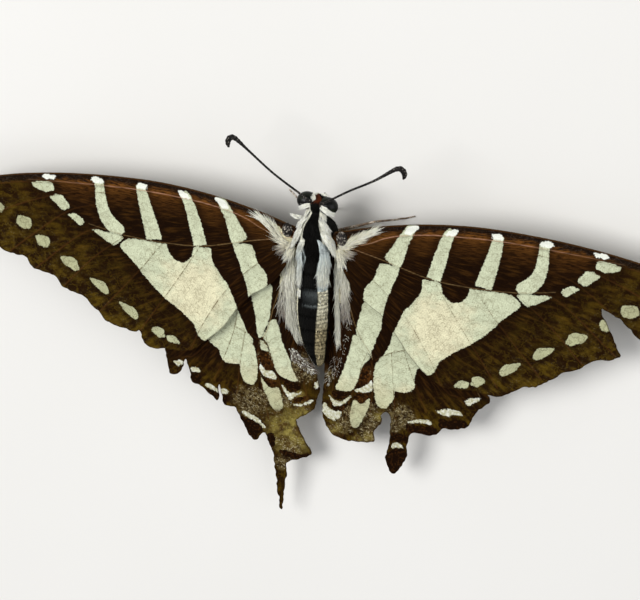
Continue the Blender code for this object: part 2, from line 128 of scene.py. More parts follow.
HIND_OUTER = {
    "left": [
        (16.4, -18.4), (16.2, -20.4), (15.9, -21.5), (14.6, -20.9), (13.9, -18.9), (13.4, -20.6),
        (13.3, -22.0), (11.8, -22.3), (11.0, -23.3), (10.1, -24.2), (9.75, -21.5), (9.3, -24.4),
        (7.7, -24.3), (7.25, -25.4), (6.8, -26.7), (6.3, -27.7), (5.7, -28.3), (5.2, -28.4), (5.1, -27.7),
        (4.5, -27.2), (4.0, -27.1), (4.0, -27.9), (3.7, -28.8), (3.3, -29.6), (3.1, -31.2), (2.95, -33.2),
        (2.7, -35.4), (2.35, -37.4), (2.0, -35.4), (1.75, -33.0), (1.6, -30.9), (1.0, -30.3), (-0.4, -30.1),
        (-1.2, -29.7), (-1.2, -29.2), (-0.7, -28.2), (-0.2, -27.1), (0.3, -25.9), (0.5, -24.9),
        (-0.3, -24.5), (-1.1, -23.9), (-1.8, -23.2), (-2.15, -20.6),
    ],
    "right": [
        (17.8, -18.9), (16.2, -20.2), (15.9, -21.2), (15.3, -22.7), (13.6, -23.1), (12.2, -23.3),
        (11.7, -24.0), (10.9, -24.6), (10.1, -24.5), (9.4, -24.2), (8.7, -24.3), (8.3, -25.3), (8.1, -26.5),
        (8.1, -27.6), (7.7, -28.8), (7.1, -30.0), (6.5, -30.4), (5.9, -29.5), (5.6, -28.3), (6.0, -27.1),
        (6.2, -25.8), (6.1, -24.3), (6.2, -22.9), (6.15, -22.2), (5.5, -22.0), (5.1, -22.6), (5.2, -23.8),
        (4.4, -24.5), (4.2, -25.1), (4.5, -26.2), (3.5, -26.4), (2.1, -26.6), (0.8, -26.6), (-0.8, -26.3),
        (-1.5, -25.6), (-2.2, -24.5), (-2.3, -23.2), (-2.1, -20.6),
    ],
}

# Veins: the stout stems and the fine branches
FORE_STEMS = [
    [(0.0, 0.0), (2.8, -0.6), (5.3, 0.6), (7.2, 1.25), (10.6, 1.85), (13.9, 2.1), (18.4, 2.2), (22.9, 2.0),
     (28.0, 1.6), (32.5, 1.1)],
    [(0.0, -0.7), (5.2, -2.0), (10.8, -3.6), (15.5, -4.0), (20.4, -3.9), (25.0, -3.2)],
]
FORE_BRANCHES = [
    [(21.5, 1.2), (27.0, 0.4), (34.0, -2.4), (40.0, -6.2)],
    [(24.5, 1.8), (29.5, 1.2), (36.0, 0.0), (41.2, -2.6)],
    [(24.0, -0.6), (28.0, -2.4), (35.2, -8.6)],
    [(23.6, -3.2), (27.0, -5.6), (32.0, -10.3)],
    [(20.4, -3.9), (24.6, -7.6), (28.5, -12.0)],
    [(15.8, -4.0), (18.7, -8.0), (23.9, -14.4)],
    [(11.3, -3.8), (14.3, -8.8), (19.0, -16.2)],
    [(0.6, -1.3), (4.0, -4.4), (8.0, -8.6), (11.0, -13.6), (12.6, -17.3)],
]
HIND_FRONT_STEM = [(0.0, -1.8), (6.0, -5.2), (12.5, -11.6), (16.6, -18.4)]
HIND_FRONT_BRANCHES = [
    [(0.4, -2.4), (4.2, -7.2), (8.2, -12.6), (12.6, -18.2), (14.0, -18.8)],
    [(7.2, -11.3), (8.0, -15.0), (10.4, -21.4)],
]
HIND_STEMS = {
    "left": [
        HIND_FRONT_STEM,
        [(0.0, -3.0), (1.6, -6.6), (2.8, -10.2), (3.5, -13.0), (4.2, -14.6)],
    ],
    "right": [
        HIND_FRONT_STEM,
        [(0.0, -3.0), (0.9, -7.0), (1.7, -10.6), (2.6, -12.8), (3.7, -14.6), (4.0, -15.3)],
    ],
}
HIND_BRANCHES = {
    "left": [
        *HIND_FRONT_BRANCHES,
        [(6.4, -14.2), (7.1, -18.4), (7.7, -24.0)],
        [(8.0, -13.6), (6.4, -14.2), (4.6, -15.0)],
        [(4.2, -14.6), (4.8, -15.8), (4.9, -17.8), (4.6, -19.6), (4.4, -21.7), (4.1, -23.4), (3.4, -26.6)],
        [(3.9, -14.2), (3.6, -15.6), (3.2, -16.9), (2.9, -18.1), (2.5, -19.4), (2.2, -20.6), (1.7, -21.7),
         (1.4, -22.9), (0.4, -24.4)],
        [(0.0, -4.2), (0.2, -9.0), (0.6, -14.0), (-0.4, -19.0), (-1.2, -23.4)],
    ],
    "right": [
        *HIND_FRONT_BRANCHES,
        [(6.2, -14.2), (6.5, -19.2), (6.9, -24.6)],
        [(8.0, -13.6), (6.2, -14.2), (4.4, -15.4)],
        [(4.0, -15.3), (3.9, -16.4), (4.0, -18.2), (4.0, -19.8), (3.9, -21.1), (3.8, -22.5), (3.7, -25.9)],
        [(3.4, -14.6), (2.7, -16.4), (2.3, -18.5), (1.7, -20.0), (1.2, -21.5), (1.0, -22.9), (0.5, -26.1)],
        [(0.0, -4.2), (0.2, -9.0), (0.2, -14.0), (-0.6, -19.0), (-1.2, -23.4)],
    ],
}

# Markings of the forewing: bars as a centre line and its half widths, patches as outlines
FORE_BARS = [
    ([(23.7, 2.7), (23.45, 1.8), (23.35, -0.1), (23.05, -1.5), (22.4, -2.6), (21.35, -3.35), (20.8, -3.8)],
     [0.50, 0.58, 0.66, 0.76, 0.86, 0.84, 0.45]),
    ([(18.45, 2.9), (18.3, 2.2), (17.75, -0.5), (17.0, -3.2), (16.9, -3.8)], [0.48, 0.60, 0.80, 0.95, 0.90]),
    ([(13.25, 2.75), (12.65, 1.8), (11.85, -1.1), (11.25, -3.6)], [0.50, 0.60, 0.76, 0.86]),
    ([(8.95, 2.85), (8.5, 2.3), (7.5, 0.3), (6.75, -1.6), (6.3, -2.3)], [0.50, 0.56, 0.72, 1.00, 1.05]),
    ([(4.6, 1.75), (3.8, 1.30), (2.6, 0.55), (1.5, -0.3), (0.3, -1.2)], [0.06, 0.16, 0.24, 0.30, 0.34]),
]
FORE_PATCHES = [
    [(32.1, 0.9), (29.4, 1.4), (29.2, 0.3), (30.4, -0.2), (31.8, 0.2)],
    [(30.0, -0.6), (28.4, 0.0), (27.2, -1.5), (28.2, -2.2)],
    [(27.7, -2.5), (26.7, -2.2), (25.5, -3.0), (26.0, -3.8), (26.8, -3.2)],
    [(24.8, -3.8), (22.6, -3.9), (20.6, -4.1), (21.2, -5.0), (21.9, -5.5), (23.4, -4.8)],
    [(36.9, -3.0), (36.3, -2.6), (35.7, -3.1), (36.2, -4.0)],
    [(34.4, -4.8), (34.0, -3.7), (32.3, -3.9), (32.3, -5.2), (33.5, -5.5)],
    [(32.0, -6.1), (31.4, -5.8), (30.1, -6.0), (30.1, -7.3), (31.6, -7.3)],
    [(28.9, -8.1), (26.9, -8.1), (26.3, -9.5), (27.1, -9.7), (28.5, -9.1)],
    [(25.4, -10.2), (23.2, -10.6), (22.7, -11.9), (23.3, -12.2), (24.7, -11.2)],
    [(19.0, -14.2), (19.6, -13.2), (21.6, -12.6), (21.0, -13.8), (19.5, -14.8)],
    [(15.8, -16.5), (16.0, -15.5), (16.8, -15.1), (17.7, -15.6), (16.7, -16.6)],
    [(13.9, -17.0), (14.5, -16.0), (15.7, -16.1), (15.6, -16.9)],
    [(7.4, -2.7), (6.9, -4.2), (6.2, -6.2), (5.6, -8.2), (5.4, -10.4), (3.2, -11.0), (2.85, -9.0),
     (3.2, -7.6), (3.3, -5.9), (4.4, -4.6), (5.0, -2.4)],
]
FORE_DISC = [
    (9.9, -3.75), (11.3, -3.8), (15.7, -4.15), (20.1, -4.15), (21.3, -5.4), (20.2, -6.6), (18.8, -7.9),
    (18.5, -8.5), (17.2, -9.9), (15.7, -11.2), (14.6, -12.0), (13.7, -12.6), (12.1, -14.1), (11.8, -15.2),
    (11.0, -16.0), (9.2, -16.0), (6.4, -12.6), (6.6, -11.4), (7.1, -10.3), (7.9, -8.1), (8.7, -7.3),
    (9.5, -6.1), (9.9, -5.1),
]
DISC_SPOT_AT, DISC_SPOT_REACH = (13.7, -3.9), (1.65, 2.35)
FORE_WHITES = [
    [(30.8, 1.8), (30.2, 2.25), (28.8, 2.15), (29.3, 1.7), (30.3, 1.5)],
    [(24.5, 2.6), (24.0, 3.0), (23.1, 2.75), (23.0, 2.2), (24.3, 2.1)],
    [(18.9, 2.8), (18.2, 3.2), (17.6, 2.85), (17.7, 2.35), (18.8, 2.3)],
    [(14.0, 2.75), (13.5, 3.05), (12.7, 2.6), (12.3, 2.1), (13.2, 2.0)],
    [(9.5, 2.65), (8.9, 2.95), (8.0, 2.3), (7.7, 1.6), (8.6, 1.5)],
]
FORE_CREAM = [[(0.2, -1.3), (1.2, -1.2), (1.8, -1.7), (1.5, -2.4), (0.8, -2.3)]]

# Markings of each hindwing as outlines
HIND_PATCHES = {
    "left": [
        [(8.6, -6.6), (7.6, -8.6), (7.3, -11.4), (6.7, -12.9), (6.3, -14.0), (5.4, -15.1), (5.6, -15.7),
         (5.3, -16.0), (5.2, -16.8), (5.0, -17.7), (4.9, -18.6), (5.0, -19.5), (5.2, -20.4), (5.5, -21.0),
         (6.0, -21.2), (6.5, -20.9), (6.9, -20.4), (7.1, -19.5), (7.1, -18.4), (7.7, -18.7), (8.5, -18.8),
         (9.1, -18.5), (9.5, -17.9), (9.7, -17.1), (10.7, -16.4), (13.2, -13.4), (11.8, -10.4)],
        [(5.9, -7.4), (2.9, -7.2), (3.4, -12.1), (3.9, -13.3), (4.4, -14.6), (4.8, -14.8), (5.0, -13.9),
         (5.1, -12.4)],
        [(3.3, -12.2), (2.6, -12.0), (2.2, -13.5), (2.0, -14.8), (1.5, -16.0), (1.0, -17.1), (0.8, -18.3),
         (0.3, -19.2), (0.1, -19.8), (0.9, -19.9), (1.8, -19.5), (2.3, -19.3), (2.7, -18.7), (3.0, -17.7),
         (3.4, -16.5), (3.6, -15.4), (4.1, -14.8), (4.2, -14.3), (3.7, -13.4)],
        [(4.6, -15.0), (4.2, -15.1), (3.7, -15.8), (3.6, -16.3), (4.0, -16.5), (4.5, -16.3), (4.6, -15.7)],
        [(4.6, -19.6), (4.4, -20.0), (4.0, -20.6), (3.6, -21.1), (3.2, -21.2), (2.7, -20.9), (2.4, -21.1),
         (2.2, -21.7), (2.0, -22.4), (1.9, -23.1), (2.0, -23.5), (2.4, -24.1), (2.9, -24.1), (3.2, -23.8),
         (3.6, -23.3), (3.8, -22.5), (4.2, -21.7), (4.4, -20.8)],
    ],
    "right": [
        [(8.6, -6.6), (7.3, -8.2), (6.8, -10.6), (6.2, -11.9), (6.1, -12.9), (5.8, -13.7), (5.4, -14.5),
         (4.8, -15.2), (4.3, -16.1), (4.2, -16.9), (4.1, -17.9), (4.1, -19.0), (4.3, -20.0), (4.4, -20.9),
         (4.7, -21.5), (5.2, -21.7), (5.7, -21.6), (6.0, -21.1), (6.4, -20.5), (6.6, -20.0), (6.5, -19.2),
         (7.1, -19.2), (7.8, -19.2), (8.4, -19.0), (8.9, -18.5), (9.0, -17.9), (8.9, -17.4), (9.0, -16.5),
         (9.7, -15.2), (12.4, -13.0), (11.4, -10.0)],
        [(5.4, -7.6), (2.9, -8.0), (2.3, -10.4), (2.1, -11.5), (2.0, -12.5), (2.6, -12.8), (2.9, -13.9),
         (3.4, -14.6), (4.0, -15.2), (3.7, -14.5), (4.0, -14.1), (4.2, -13.4), (4.5, -12.4), (4.9, -11.5)],
        [(1.7, -12.5), (2.4, -12.7), (2.9, -13.8), (3.5, -14.8), (3.8, -15.1), (3.3, -15.8), (2.9, -16.3),
         (2.7, -16.8), (2.5, -17.5), (2.3, -18.5), (2.0, -19.0), (1.7, -19.7), (1.1, -20.1), (0.3, -20.2),
         (-0.3, -20.1), (-0.5, -19.9), (-0.2, -19.3), (0.1, -18.4), (0.5, -17.4), (0.8, -16.3), (1.2, -14.9),
         (1.4, -13.9)],
        [(1.7, -21.2), (2.0, -21.0), (2.6, -21.6), (3.3, -20.8), (3.7, -20.5), (3.7, -21.1), (3.6, -21.8),
         (3.2, -22.7), (2.9, -23.5), (2.5, -24.3), (2.1, -24.8), (1.6, -24.6), (1.4, -24.0), (1.3, -23.2),
         (1.5, -22.1)],
    ],
}
HIND_WHITES = {
    "left": [
        [(4.7, -17.9), (4.5, -18.3), (4.1, -18.9), (3.5, -18.9), (3.2, -18.8), (2.9, -19.0), (2.6, -19.6),
         (3.0, -19.9), (3.7, -19.8), (4.2, -19.7), (4.5, -19.3), (4.7, -18.7)],
        [(2.2, -20.2), (1.8, -20.7), (1.4, -21.1), (1.0, -21.4), (0.3, -21.4), (-0.4, -21.1), (0.0, -21.5),
         (0.5, -21.9), (0.8, -22.2), (1.1, -22.3), (1.5, -21.7), (1.9, -21.0)],
        [(1.0, -22.6), (0.6, -22.8), (0.1, -22.9), (-0.5, -22.7), (-1.2, -22.2), (-1.6, -22.2),
         (-1.1, -22.7), (-0.4, -23.0), (0.2, -23.1), (0.7, -23.0)],
        [(-1.8, -19.9), (-2.1, -19.6), (-2.2, -20.2), (-2.0, -20.9), (-1.7, -20.5)],
        [(7.1, -24.8), (6.6, -24.8), (5.9, -25.1), (5.1, -25.5), (4.5, -26.0), (3.9, -26.6), (4.4, -26.6),
         (5.0, -26.1), (5.8, -25.8), (6.6, -25.6)],
        [(11.7, -22.1), (11.0, -21.8), (10.2, -22.4), (8.6, -22.3), (8.8, -22.9), (10.0, -22.9),
         (11.2, -22.5)],
        [(13.3, -20.1), (12.3, -20.0), (12.1, -20.6), (13.2, -20.7)],
        [(15.5, -19.8), (14.7, -19.3), (13.9, -19.5), (14.8, -20.2)],
    ],
    "right": [
        [(2.1, -19.5), (2.7, -19.3), (3.4, -18.8), (3.9, -18.1), (4.0, -18.7), (4.0, -19.5), (3.4, -19.8),
         (2.9, -19.9), (2.3, -19.9), (1.9, -20.0)],
        [(-1.2, -21.0), (-0.9, -21.3), (-0.6, -21.6), (0.0, -21.7), (0.6, -21.4), (1.2, -20.8), (1.6, -20.5),
         (1.2, -21.2), (0.6, -21.8), (-0.1, -22.3), (-0.7, -22.4), (-1.0, -21.8)],
        [(-1.9, -22.3), (-1.6, -22.5), (-1.4, -22.8), (-0.8, -23.0), (-0.3, -23.1), (0.3, -22.9),
         (0.3, -23.5), (-0.2, -24.0), (-0.7, -24.4), (-1.3, -24.3), (-1.9, -24.0), (-2.2, -23.6),
         (-2.2, -23.0)],
        [(11.4, -21.1), (11.9, -20.9), (12.8, -20.6), (13.7, -20.6), (14.3, -20.8), (14.8, -21.4),
         (14.3, -21.3), (13.6, -21.3), (12.9, -21.6), (12.2, -21.5)],
        [(8.2, -23.0), (8.6, -22.8), (9.5, -22.5), (10.3, -22.4), (10.9, -22.6), (11.0, -23.0),
         (10.4, -23.0), (9.6, -22.9), (8.8, -23.1)],
        [(14.8, -19.2), (15.3, -18.9), (15.9, -18.7), (16.9, -18.6), (16.5, -19.0), (15.9, -19.2),
         (15.5, -19.8), (15.0, -19.7)],
        [(6.3, -26.5), (6.6, -26.1), (7.0, -26.0), (7.5, -26.2), (7.8, -26.6), (7.3, -26.6), (6.8, -26.7),
         (6.4, -26.9)],
        [(13.6, -17.3), (14.1, -16.8), (14.9, -16.7), (16.1, -15.9), (17.0, -16.1), (15.8, -17.2),
         (14.6, -17.5)],
    ],
}
HIND_CREAM = {
    "left": [[(-0.6, -1.6), (1.2, -2.0), (2.0, -4.6), (2.1, -7.8), (1.5, -9.4), (0.3, -9.0), (-0.2, -5.0)]],
    "right": [[(-0.8, -1.6), (0.8, -2.0), (1.2, -3.6), (1.3, -6.6), (0.9, -8.6), (-0.5, -8.9),
              (-0.5, -5.0)]],
}
HIND_DARKS = {
    "left": [
        [(4.7, -16.6), (4.9, -17.3), (4.6, -18.0), (4.3, -18.6), (3.6, -18.8), (3.3, -18.3), (3.3, -17.5),
         (3.6, -16.5), (4.0, -16.3), (4.5, -16.3)],
        [(4.3, -19.8), (3.8, -20.0), (3.0, -20.1), (2.7, -20.3), (2.6, -20.6), (3.1, -20.7), (3.6, -20.9),
         (3.9, -20.7), (4.2, -20.3)],
        [(2.2, -19.6), (1.6, -19.7), (0.8, -20.0), (0.2, -20.1), (-0.3, -20.4), (0.0, -21.0), (0.5, -21.2),
         (1.0, -21.0), (1.5, -20.7), (1.9, -20.2)],
        [(7.3, -25.4), (6.4, -25.7), (5.4, -26.0), (4.6, -26.6), (4.3, -27.0), (5.2, -27.7), (5.2, -28.5),
         (5.8, -28.4), (6.4, -27.8), (7.0, -26.7)],
        [(3.9, -27.2), (3.3, -27.0), (2.9, -27.6), (3.1, -28.9), (3.4, -29.3), (3.9, -28.6), (4.1, -27.8)],
        [(2.6, -29.3), (1.7, -29.2), (0.7, -29.4), (-0.1, -29.6), (-0.8, -29.3), (-1.3, -29.6),
         (-0.4, -30.2), (0.9, -30.2), (2.1, -30.0)],
        [(0.7, -22.3), (-0.1, -21.8), (-0.8, -21.7), (-0.9, -22.0), (-0.1, -22.6), (0.5, -22.6)],
        [(12.0, -22.4), (11.2, -22.6), (10.0, -23.0), (8.7, -23.0), (9.0, -24.6), (11.4, -24.0)],
        [(13.5, -20.8), (12.0, -20.8), (12.0, -22.0), (13.5, -22.2)],
    ],
    "right": [
        [(2.9, -16.4), (3.4, -16.1), (3.8, -16.4), (3.7, -17.3), (3.5, -18.1), (3.1, -19.0), (2.6, -19.1),
         (2.3, -18.6), (2.5, -17.8), (2.7, -17.0)],
        [(1.8, -20.4), (2.1, -20.1), (2.9, -20.0), (3.7, -19.9), (3.7, -20.4), (3.3, -20.9), (2.9, -21.4),
         (2.5, -21.5), (2.2, -21.0), (1.7, -20.8)],
        [(-1.0, -20.6), (-0.7, -20.3), (-0.1, -20.4), (0.5, -20.3), (1.2, -20.3), (1.0, -20.7), (0.4, -21.3),
         (-0.2, -21.5), (-0.7, -21.4), (-0.9, -21.0)],
        [(-0.9, -22.5), (-0.3, -22.4), (0.3, -22.0), (1.0, -21.5), (1.2, -21.9), (0.7, -22.4), (0.2, -23.0),
         (-0.4, -23.0), (-0.9, -22.7)],
        [(8.1, -23.4), (8.9, -23.3), (9.7, -23.3), (10.5, -23.3), (11.2, -23.1), (11.8, -23.5),
         (11.6, -24.3), (10.8, -24.8), (10.1, -24.6), (9.4, -24.4), (8.4, -24.4), (8.0, -23.9)],
        [(11.7, -21.9), (12.8, -22.1), (14.0, -21.8), (14.8, -21.9), (15.5, -22.4), (15.5, -23.0),
         (14.3, -23.3), (12.9, -23.4), (11.9, -23.4)],
        [(6.1, -27.1), (6.8, -26.8), (7.8, -26.7), (8.2, -27.6), (7.9, -28.8), (7.2, -30.1), (6.5, -30.6),
         (5.7, -29.5), (5.4, -28.2)],
        [(6.2, -24.7), (7.1, -24.5), (8.5, -25.0), (8.3, -26.0), (7.3, -25.8), (6.2, -25.9)],
    ],
}
# Places with spots of a kind, each (u, v, radius): bald and frayed near the tail, dusted with pale
# scales, and reddened
HIND_BARE = {
    "left": [(1.2, -26.4, 2.6), (1.0, -28.6, 1.0), (-0.3, -23.5, 0.9), (2.6, -24.6, 0.8), (0.1, -21.6, 0.6)],
    "right": [(-0.6, -25.6, 0.9), (3.9, -25.6, 0.7), (2.2, -26.2, 0.5), (5.0, -22.6, 0.7)],
}
HIND_DUSTED = {
    "left": [(6.0, -23.4, 1.8), (4.6, -22.4, 0.8), (4.0, -17.2, 0.8), (-0.6, -17.9, 1.6), (1.2, -28.6, 1.3),
             (3.2, -28.0, 0.6), (2.3, -31.0, 0.8), (1.6, -22.4, 0.7), (4.2, -15.6, 0.5)],
    "right": [(4.0, -23.4, 1.0), (3.4, -25.4, 1.0), (0.6, -24.6, 1.0), (3.2, -17.2, 0.5), (-1.2, -18.4, 0.6),
              (6.7, -23.6, 0.9), (1.0, -22.4, 0.8), (4.0, -21.6, 0.5), (7.4, -22.4, 1.4)],
}
HIND_RUSTY = {
    "left": [(3.9, -17.6, 1.1), (3.2, -20.4, 0.7), (-0.1, -22.1, 0.8)],
    "right": [(3.1, -17.6, 1.1), (2.9, -20.7, 0.8), (0.4, -22.4, 0.5)],
}

# Bands of hair that lie on a wing: (u, v) along the band, its half widths, then how many hairs, their
# length and width, how far they splay, how high they rise, and their tints at both ends
FORE_HAIR = {
    "left": [
        ([(0.4, -1.7), (1.4, -1.3), (2.2, -0.4), (3.1, 0.6), (4.2, 1.3)], [0.30, 0.40, 0.38, 0.26, 0.08],
         270, 1.7, 0.08, 0.3, 0.25, "fur_cream", "fur_white"),
        ([(0.2, -1.6), (1.0, -2.1), (1.7, -2.7)], [0.45, 0.50, 0.30], 90, 1.1, 0.08, 0.3, 0.3, "fur_cream",
         "fur_brown"),
        ([(0.1, -1.2), (0.4, -2.2), (0.8, -3.4)], [0.35, 0.45, 0.30], 120, 1.3, 0.08, 0.2, 0.25, "fur_cream",
         "fur_pale"),
    ],
    "right": [
        ([(0.3, -1.4), (1.1, -0.9), (2.1, -0.1), (3.3, 0.8), (4.6, 1.6)], [0.28, 0.34, 0.30, 0.20, 0.08],
         250, 1.8, 0.08, 0.25, 0.25, "fur_cream", "fur_white"),
        ([(0.1, -1.4), (0.9, -1.8), (1.6, -2.0)], [0.40, 0.48, 0.30], 90, 1.1, 0.08, 0.3, 0.3, "fur_cream",
         "fur_brown"),
        ([(0.0, -1.2), (0.4, -2.2), (0.7, -3.4)], [0.30, 0.45, 0.30], 120, 1.3, 0.08, 0.2, 0.25, "fur_cream",
         "fur_pale"),
    ],
}
HIND_HAIR = {
    "left": [
        ([(0.8, -1.6), (1.05, -3.4), (1.0, -6.1)], [0.45, 0.62, 0.60], 780, 1.7, 0.08, 0.15, 0.3,
         "fur_cream", "fur_pale"),
        ([(0.9, -5.4), (0.95, -8.1), (0.95, -10.0), (0.8, -11.7), (0.35, -13.1), (0.0, -14.2)],
         [0.55, 0.58, 0.56, 0.48, 0.32, 0.18], 860, 1.9, 0.08, 0.12, 0.3, "fur_pale", "fur_grey"),
        ([(1.5, -6.6), (1.75, -9.4), (1.7, -11.6)], [0.25, 0.34, 0.30], 180, 1.8, 0.07, 0.35, 0.4,
         "fur_grey", "fur_brown"),
        ([(0.2, -3.6), (0.3, -8.0), (0.2, -11.4), (-0.1, -13.4), (-0.4, -14.6)],
         [0.16, 0.18, 0.18, 0.16, 0.12], 320, 1.5, 0.07, 0.1, 0.2, "fur_grey", "fur_pale"),
        ([(0.7, -15.8), (0.2, -16.7), (-0.6, -17.3), (-1.2, -18.0), (-1.6, -18.7)],
         [0.30, 0.50, 0.60, 0.50, 0.30], 170, 0.6, 0.07, 0.9, 0.35, "fur_brown", "fur_brown"),
        ([(0.8, -15.4), (0.2, -16.7), (-0.6, -17.5), (-1.6, -18.9)], [0.30, 0.55, 0.60, 0.30], 120, 0.35,
         0.08, 0.9, 0.35, "fur_pale", "fur_pale"),
    ],
    "right": [
        ([(0.1, -1.2), (0.5, -3.0), (0.5, -5.4)], [0.45, 0.62, 0.46], 640, 1.7, 0.08, 0.18, 0.3, "fur_cream",
         "fur_pale"),
        ([(0.5, -5.0), (0.7, -7.2), (0.75, -9.0), (0.85, -10.6)], [0.42, 0.42, 0.38, 0.26], 330, 1.7, 0.07,
         0.2, 0.3, "fur_pale", "fur_brown"),
        ([(-0.3, -3.4), (-0.3, -7.2), (-0.2, -10.7), (-0.1, -13.4), (-0.1, -14.4)],
         [0.20, 0.22, 0.24, 0.20, 0.1], 700, 1.7, 0.08, 0.08, 0.2, "fur_grey", "fur_grey"),
        ([(1.2, -11.0), (0.8, -13.4), (0.3, -15.5), (-0.2, -17.5), (-0.8, -19.4)],
         [0.22, 0.22, 0.20, 0.20, 0.18], 60, 0.28, 0.08, 0.9, 0.1, "fur_grey", "fur_brown"),
        ([(-0.4, -15.6), (-0.8, -17.6), (-1.4, -20.0)], [0.35, 0.45, 0.35], 60, 0.5, 0.07, 0.8, 0.3,
         "fur_brown", "fur_grey"),
    ],
}
# Locks on the body in the same terms, with (x, y, z) along each
BODY_LOCKS = [
    ([(-0.20, 4.02, 1.04), (-0.40, 4.28, 0.86), (-0.50, 4.46, 0.50)], [0.36, 0.46, 0.36], 330, 0.42, 0.09,
     0.3, 0.2, "fur_white", "fur_white"),
    ([(0.28, 4.46, 0.04), (0.62, 4.46, -0.08), (1.02, 4.38, -0.10)], [0.12, 0.14, 0.10], 130, 0.28, 0.07,
     0.2, 0.1, "fur_white", "fur_white"),
    ([(-0.52, 3.56, 1.20), (-1.05, 3.42, 1.25), (-1.52, 3.18, 1.12), (-1.84, 2.96, 0.90)],
     [0.20, 0.26, 0.22, 0.10], 300, 0.55, 0.08, 0.2, 0.2, "fur_white", "fur_white"),
    ([(0.60, 3.50, 1.22), (1.10, 3.26, 1.28), (1.55, 2.95, 1.15), (2.00, 2.62, 0.85)],
     [0.18, 0.34, 0.26, 0.08], 360, 0.60, 0.09, 0.15, 0.2, "fur_white", "fur_white"),
    ([(-0.78, 3.05, 0.85), (-0.98, 2.60, 0.80), (-1.20, 2.05, 1.00)], [0.22, 0.28, 0.22], 220, 0.55, 0.08,
     0.3, 0.2, "fur_pale", "fur_white"),
    ([(0.66, 2.90, 0.92), (0.86, 2.45, 0.85), (1.05, 1.95, 1.05)], [0.20, 0.26, 0.22], 220, 0.50, 0.08, 0.2,
     0.2, "fur_pale", "fur_white"),
    ([(-0.86, 2.08, 1.05), (-1.28, 1.68, 1.28), (-1.60, 1.20, 1.35), (-1.86, 0.80, 1.25)],
     [0.28, 0.40, 0.40, 0.22], 560, 0.70, 0.09, 0.2, 0.3, "fur_white", "fur_white"),
    ([(0.62, 2.00, 1.25), (0.98, 1.66, 1.50), (1.30, 1.20, 1.58), (1.60, 0.72, 1.50)],
     [0.26, 0.36, 0.36, 0.20], 560, 0.70, 0.09, 0.2, 0.3, "fur_white", "fur_white"),
    ([(-1.36, 1.00, 1.72), (-1.78, 0.20, 1.52), (-2.08, -0.50, 1.30), (-2.36, -1.10, 1.15),
     (-2.62, -1.60, 1.05)], [0.32, 0.44, 0.42, 0.30, 0.10], 820, 0.85, 0.09, 0.12, 0.3, "fur_white",
     "fur_white"),
    ([(1.10, 0.82, 1.90), (1.62, -0.05, 1.60), (1.94, -0.80, 1.32), (2.12, -1.45, 1.10),
     (2.34, -2.15, 0.80)], [0.30, 0.44, 0.42, 0.30, 0.10], 820, 0.85, 0.09, 0.12, 0.3, "fur_white",
     "fur_white"),
    ([(-0.98, -0.20, 1.98), (-1.30, -1.00, 1.62), (-1.66, -1.86, 1.12), (-1.98, -2.80, 0.95)],
     [0.20, 0.34, 0.36, 0.20], 520, 1.10, 0.09, 0.15, 0.3, "fur_pale", "fur_blue"),
    ([(0.70, -0.10, 2.12), (0.98, -0.90, 1.86), (1.12, -1.80, 1.40), (1.20, -2.70, 0.95)],
     [0.12, 0.26, 0.32, 0.22], 400, 1.10, 0.09, 0.15, 0.3, "fur_blue", "fur_blue"),
    ([(-1.55, -2.00, 1.25), (-1.62, -3.20, 1.00), (-1.68, -4.60, 0.95), (-1.80, -6.10, 0.85)],
     [0.30, 0.32, 0.32, 0.20], 560, 1.50, 0.08, 0.12, 0.3, "fur_blue", "fur_pale"),
    ([(-1.66, -6.90, 0.95), (-1.74, -7.60, 0.90)], [0.24, 0.18], 120, 0.50, 0.08, 0.2, 0.2, "fur_white",
     "fur_white"),
    ([(1.25, -1.80, 1.45), (1.20, -3.00, 1.20), (1.10, -4.20, 1.12), (1.10, -5.60, 1.05)],
     [0.50, 0.66, 0.58, 0.42], 900, 1.50, 0.08, 0.15, 0.3, "fur_blue", "fur_pale"),
    ([(-1.45, 1.66, 0.55), (-2.05, 1.78, 0.80), (-2.60, 1.98, 0.95)], [0.20, 0.22, 0.12], 190, 0.60, 0.09,
     0.1, 0.1, "fur_white", "fur_white"),
]
# The hard knob at the root of each forewing: where it is and its reach
KNOB_AT = {"left": (-3.25, 0.10, 0.95), "right": (3.10, -0.10, 0.95)}
KNOB_REACH = (0.62, 0.86, 0.45)

# The skin of the body: place along it, half width, top, bottom and shift to the right
BODY = [
    (4.48, 0.20, 0.25, -0.30, 0.0), (4.3, 0.55, 0.60, -0.60, 0.0), (4.0, 0.86, 1.00, -0.88, 0.0),
    (3.5, 1.05, 1.30, -1.02, 0.0), (3.0, 1.02, 1.28, -0.92, 0.0), (2.6, 0.84, 1.05, -0.68, 0.0),
    (2.3, 0.90, 1.22, -0.76, 0.0), (1.8, 1.14, 1.66, -1.42, -0.12), (1.2, 1.58, 2.00, -2.35, -0.18),
    (0.3, 2.06, 2.24, -3.00, -0.10), (-0.8, 2.14, 2.14, -3.05, -0.06), (-2.0, 1.96, 1.76, -2.60, -0.07),
    (-3.0, 1.60, 1.24, -1.95, -0.20), (-4.0, 1.62, 1.18, -1.85, -0.32), (-5.5, 1.75, 1.22, -1.90, -0.40),
    (-8.0, 1.92, 1.22, -1.95, -0.45), (-11.0, 1.85, 0.98, -1.95, -0.42), (-14.0, 1.38, 0.50, -1.75, -0.20),
    (-16.0, 0.76, 0.02, -1.50, 0.20), (-16.75, 0.22, -0.42, -1.12, 0.30),
]
NECK, WAIST, TAIL = 2.5, -3.2, -16.75
RING_SPACING, RING_DEPTH, GIRTH = 1.75, 0.07, 10.0
FUR_LOOK = (0.55, 0.2)
# Turns in degrees, from the top, between which the abdomen's back is black: (y, left, right)
BLACK_BACK = [(-16.6, -58, -2), (-13.3, -56, 16), (-8.0, -50, 30), (-5.5, -42, 26), (-3.2, -30, 24)]
DORSAL_HALF = 30.0

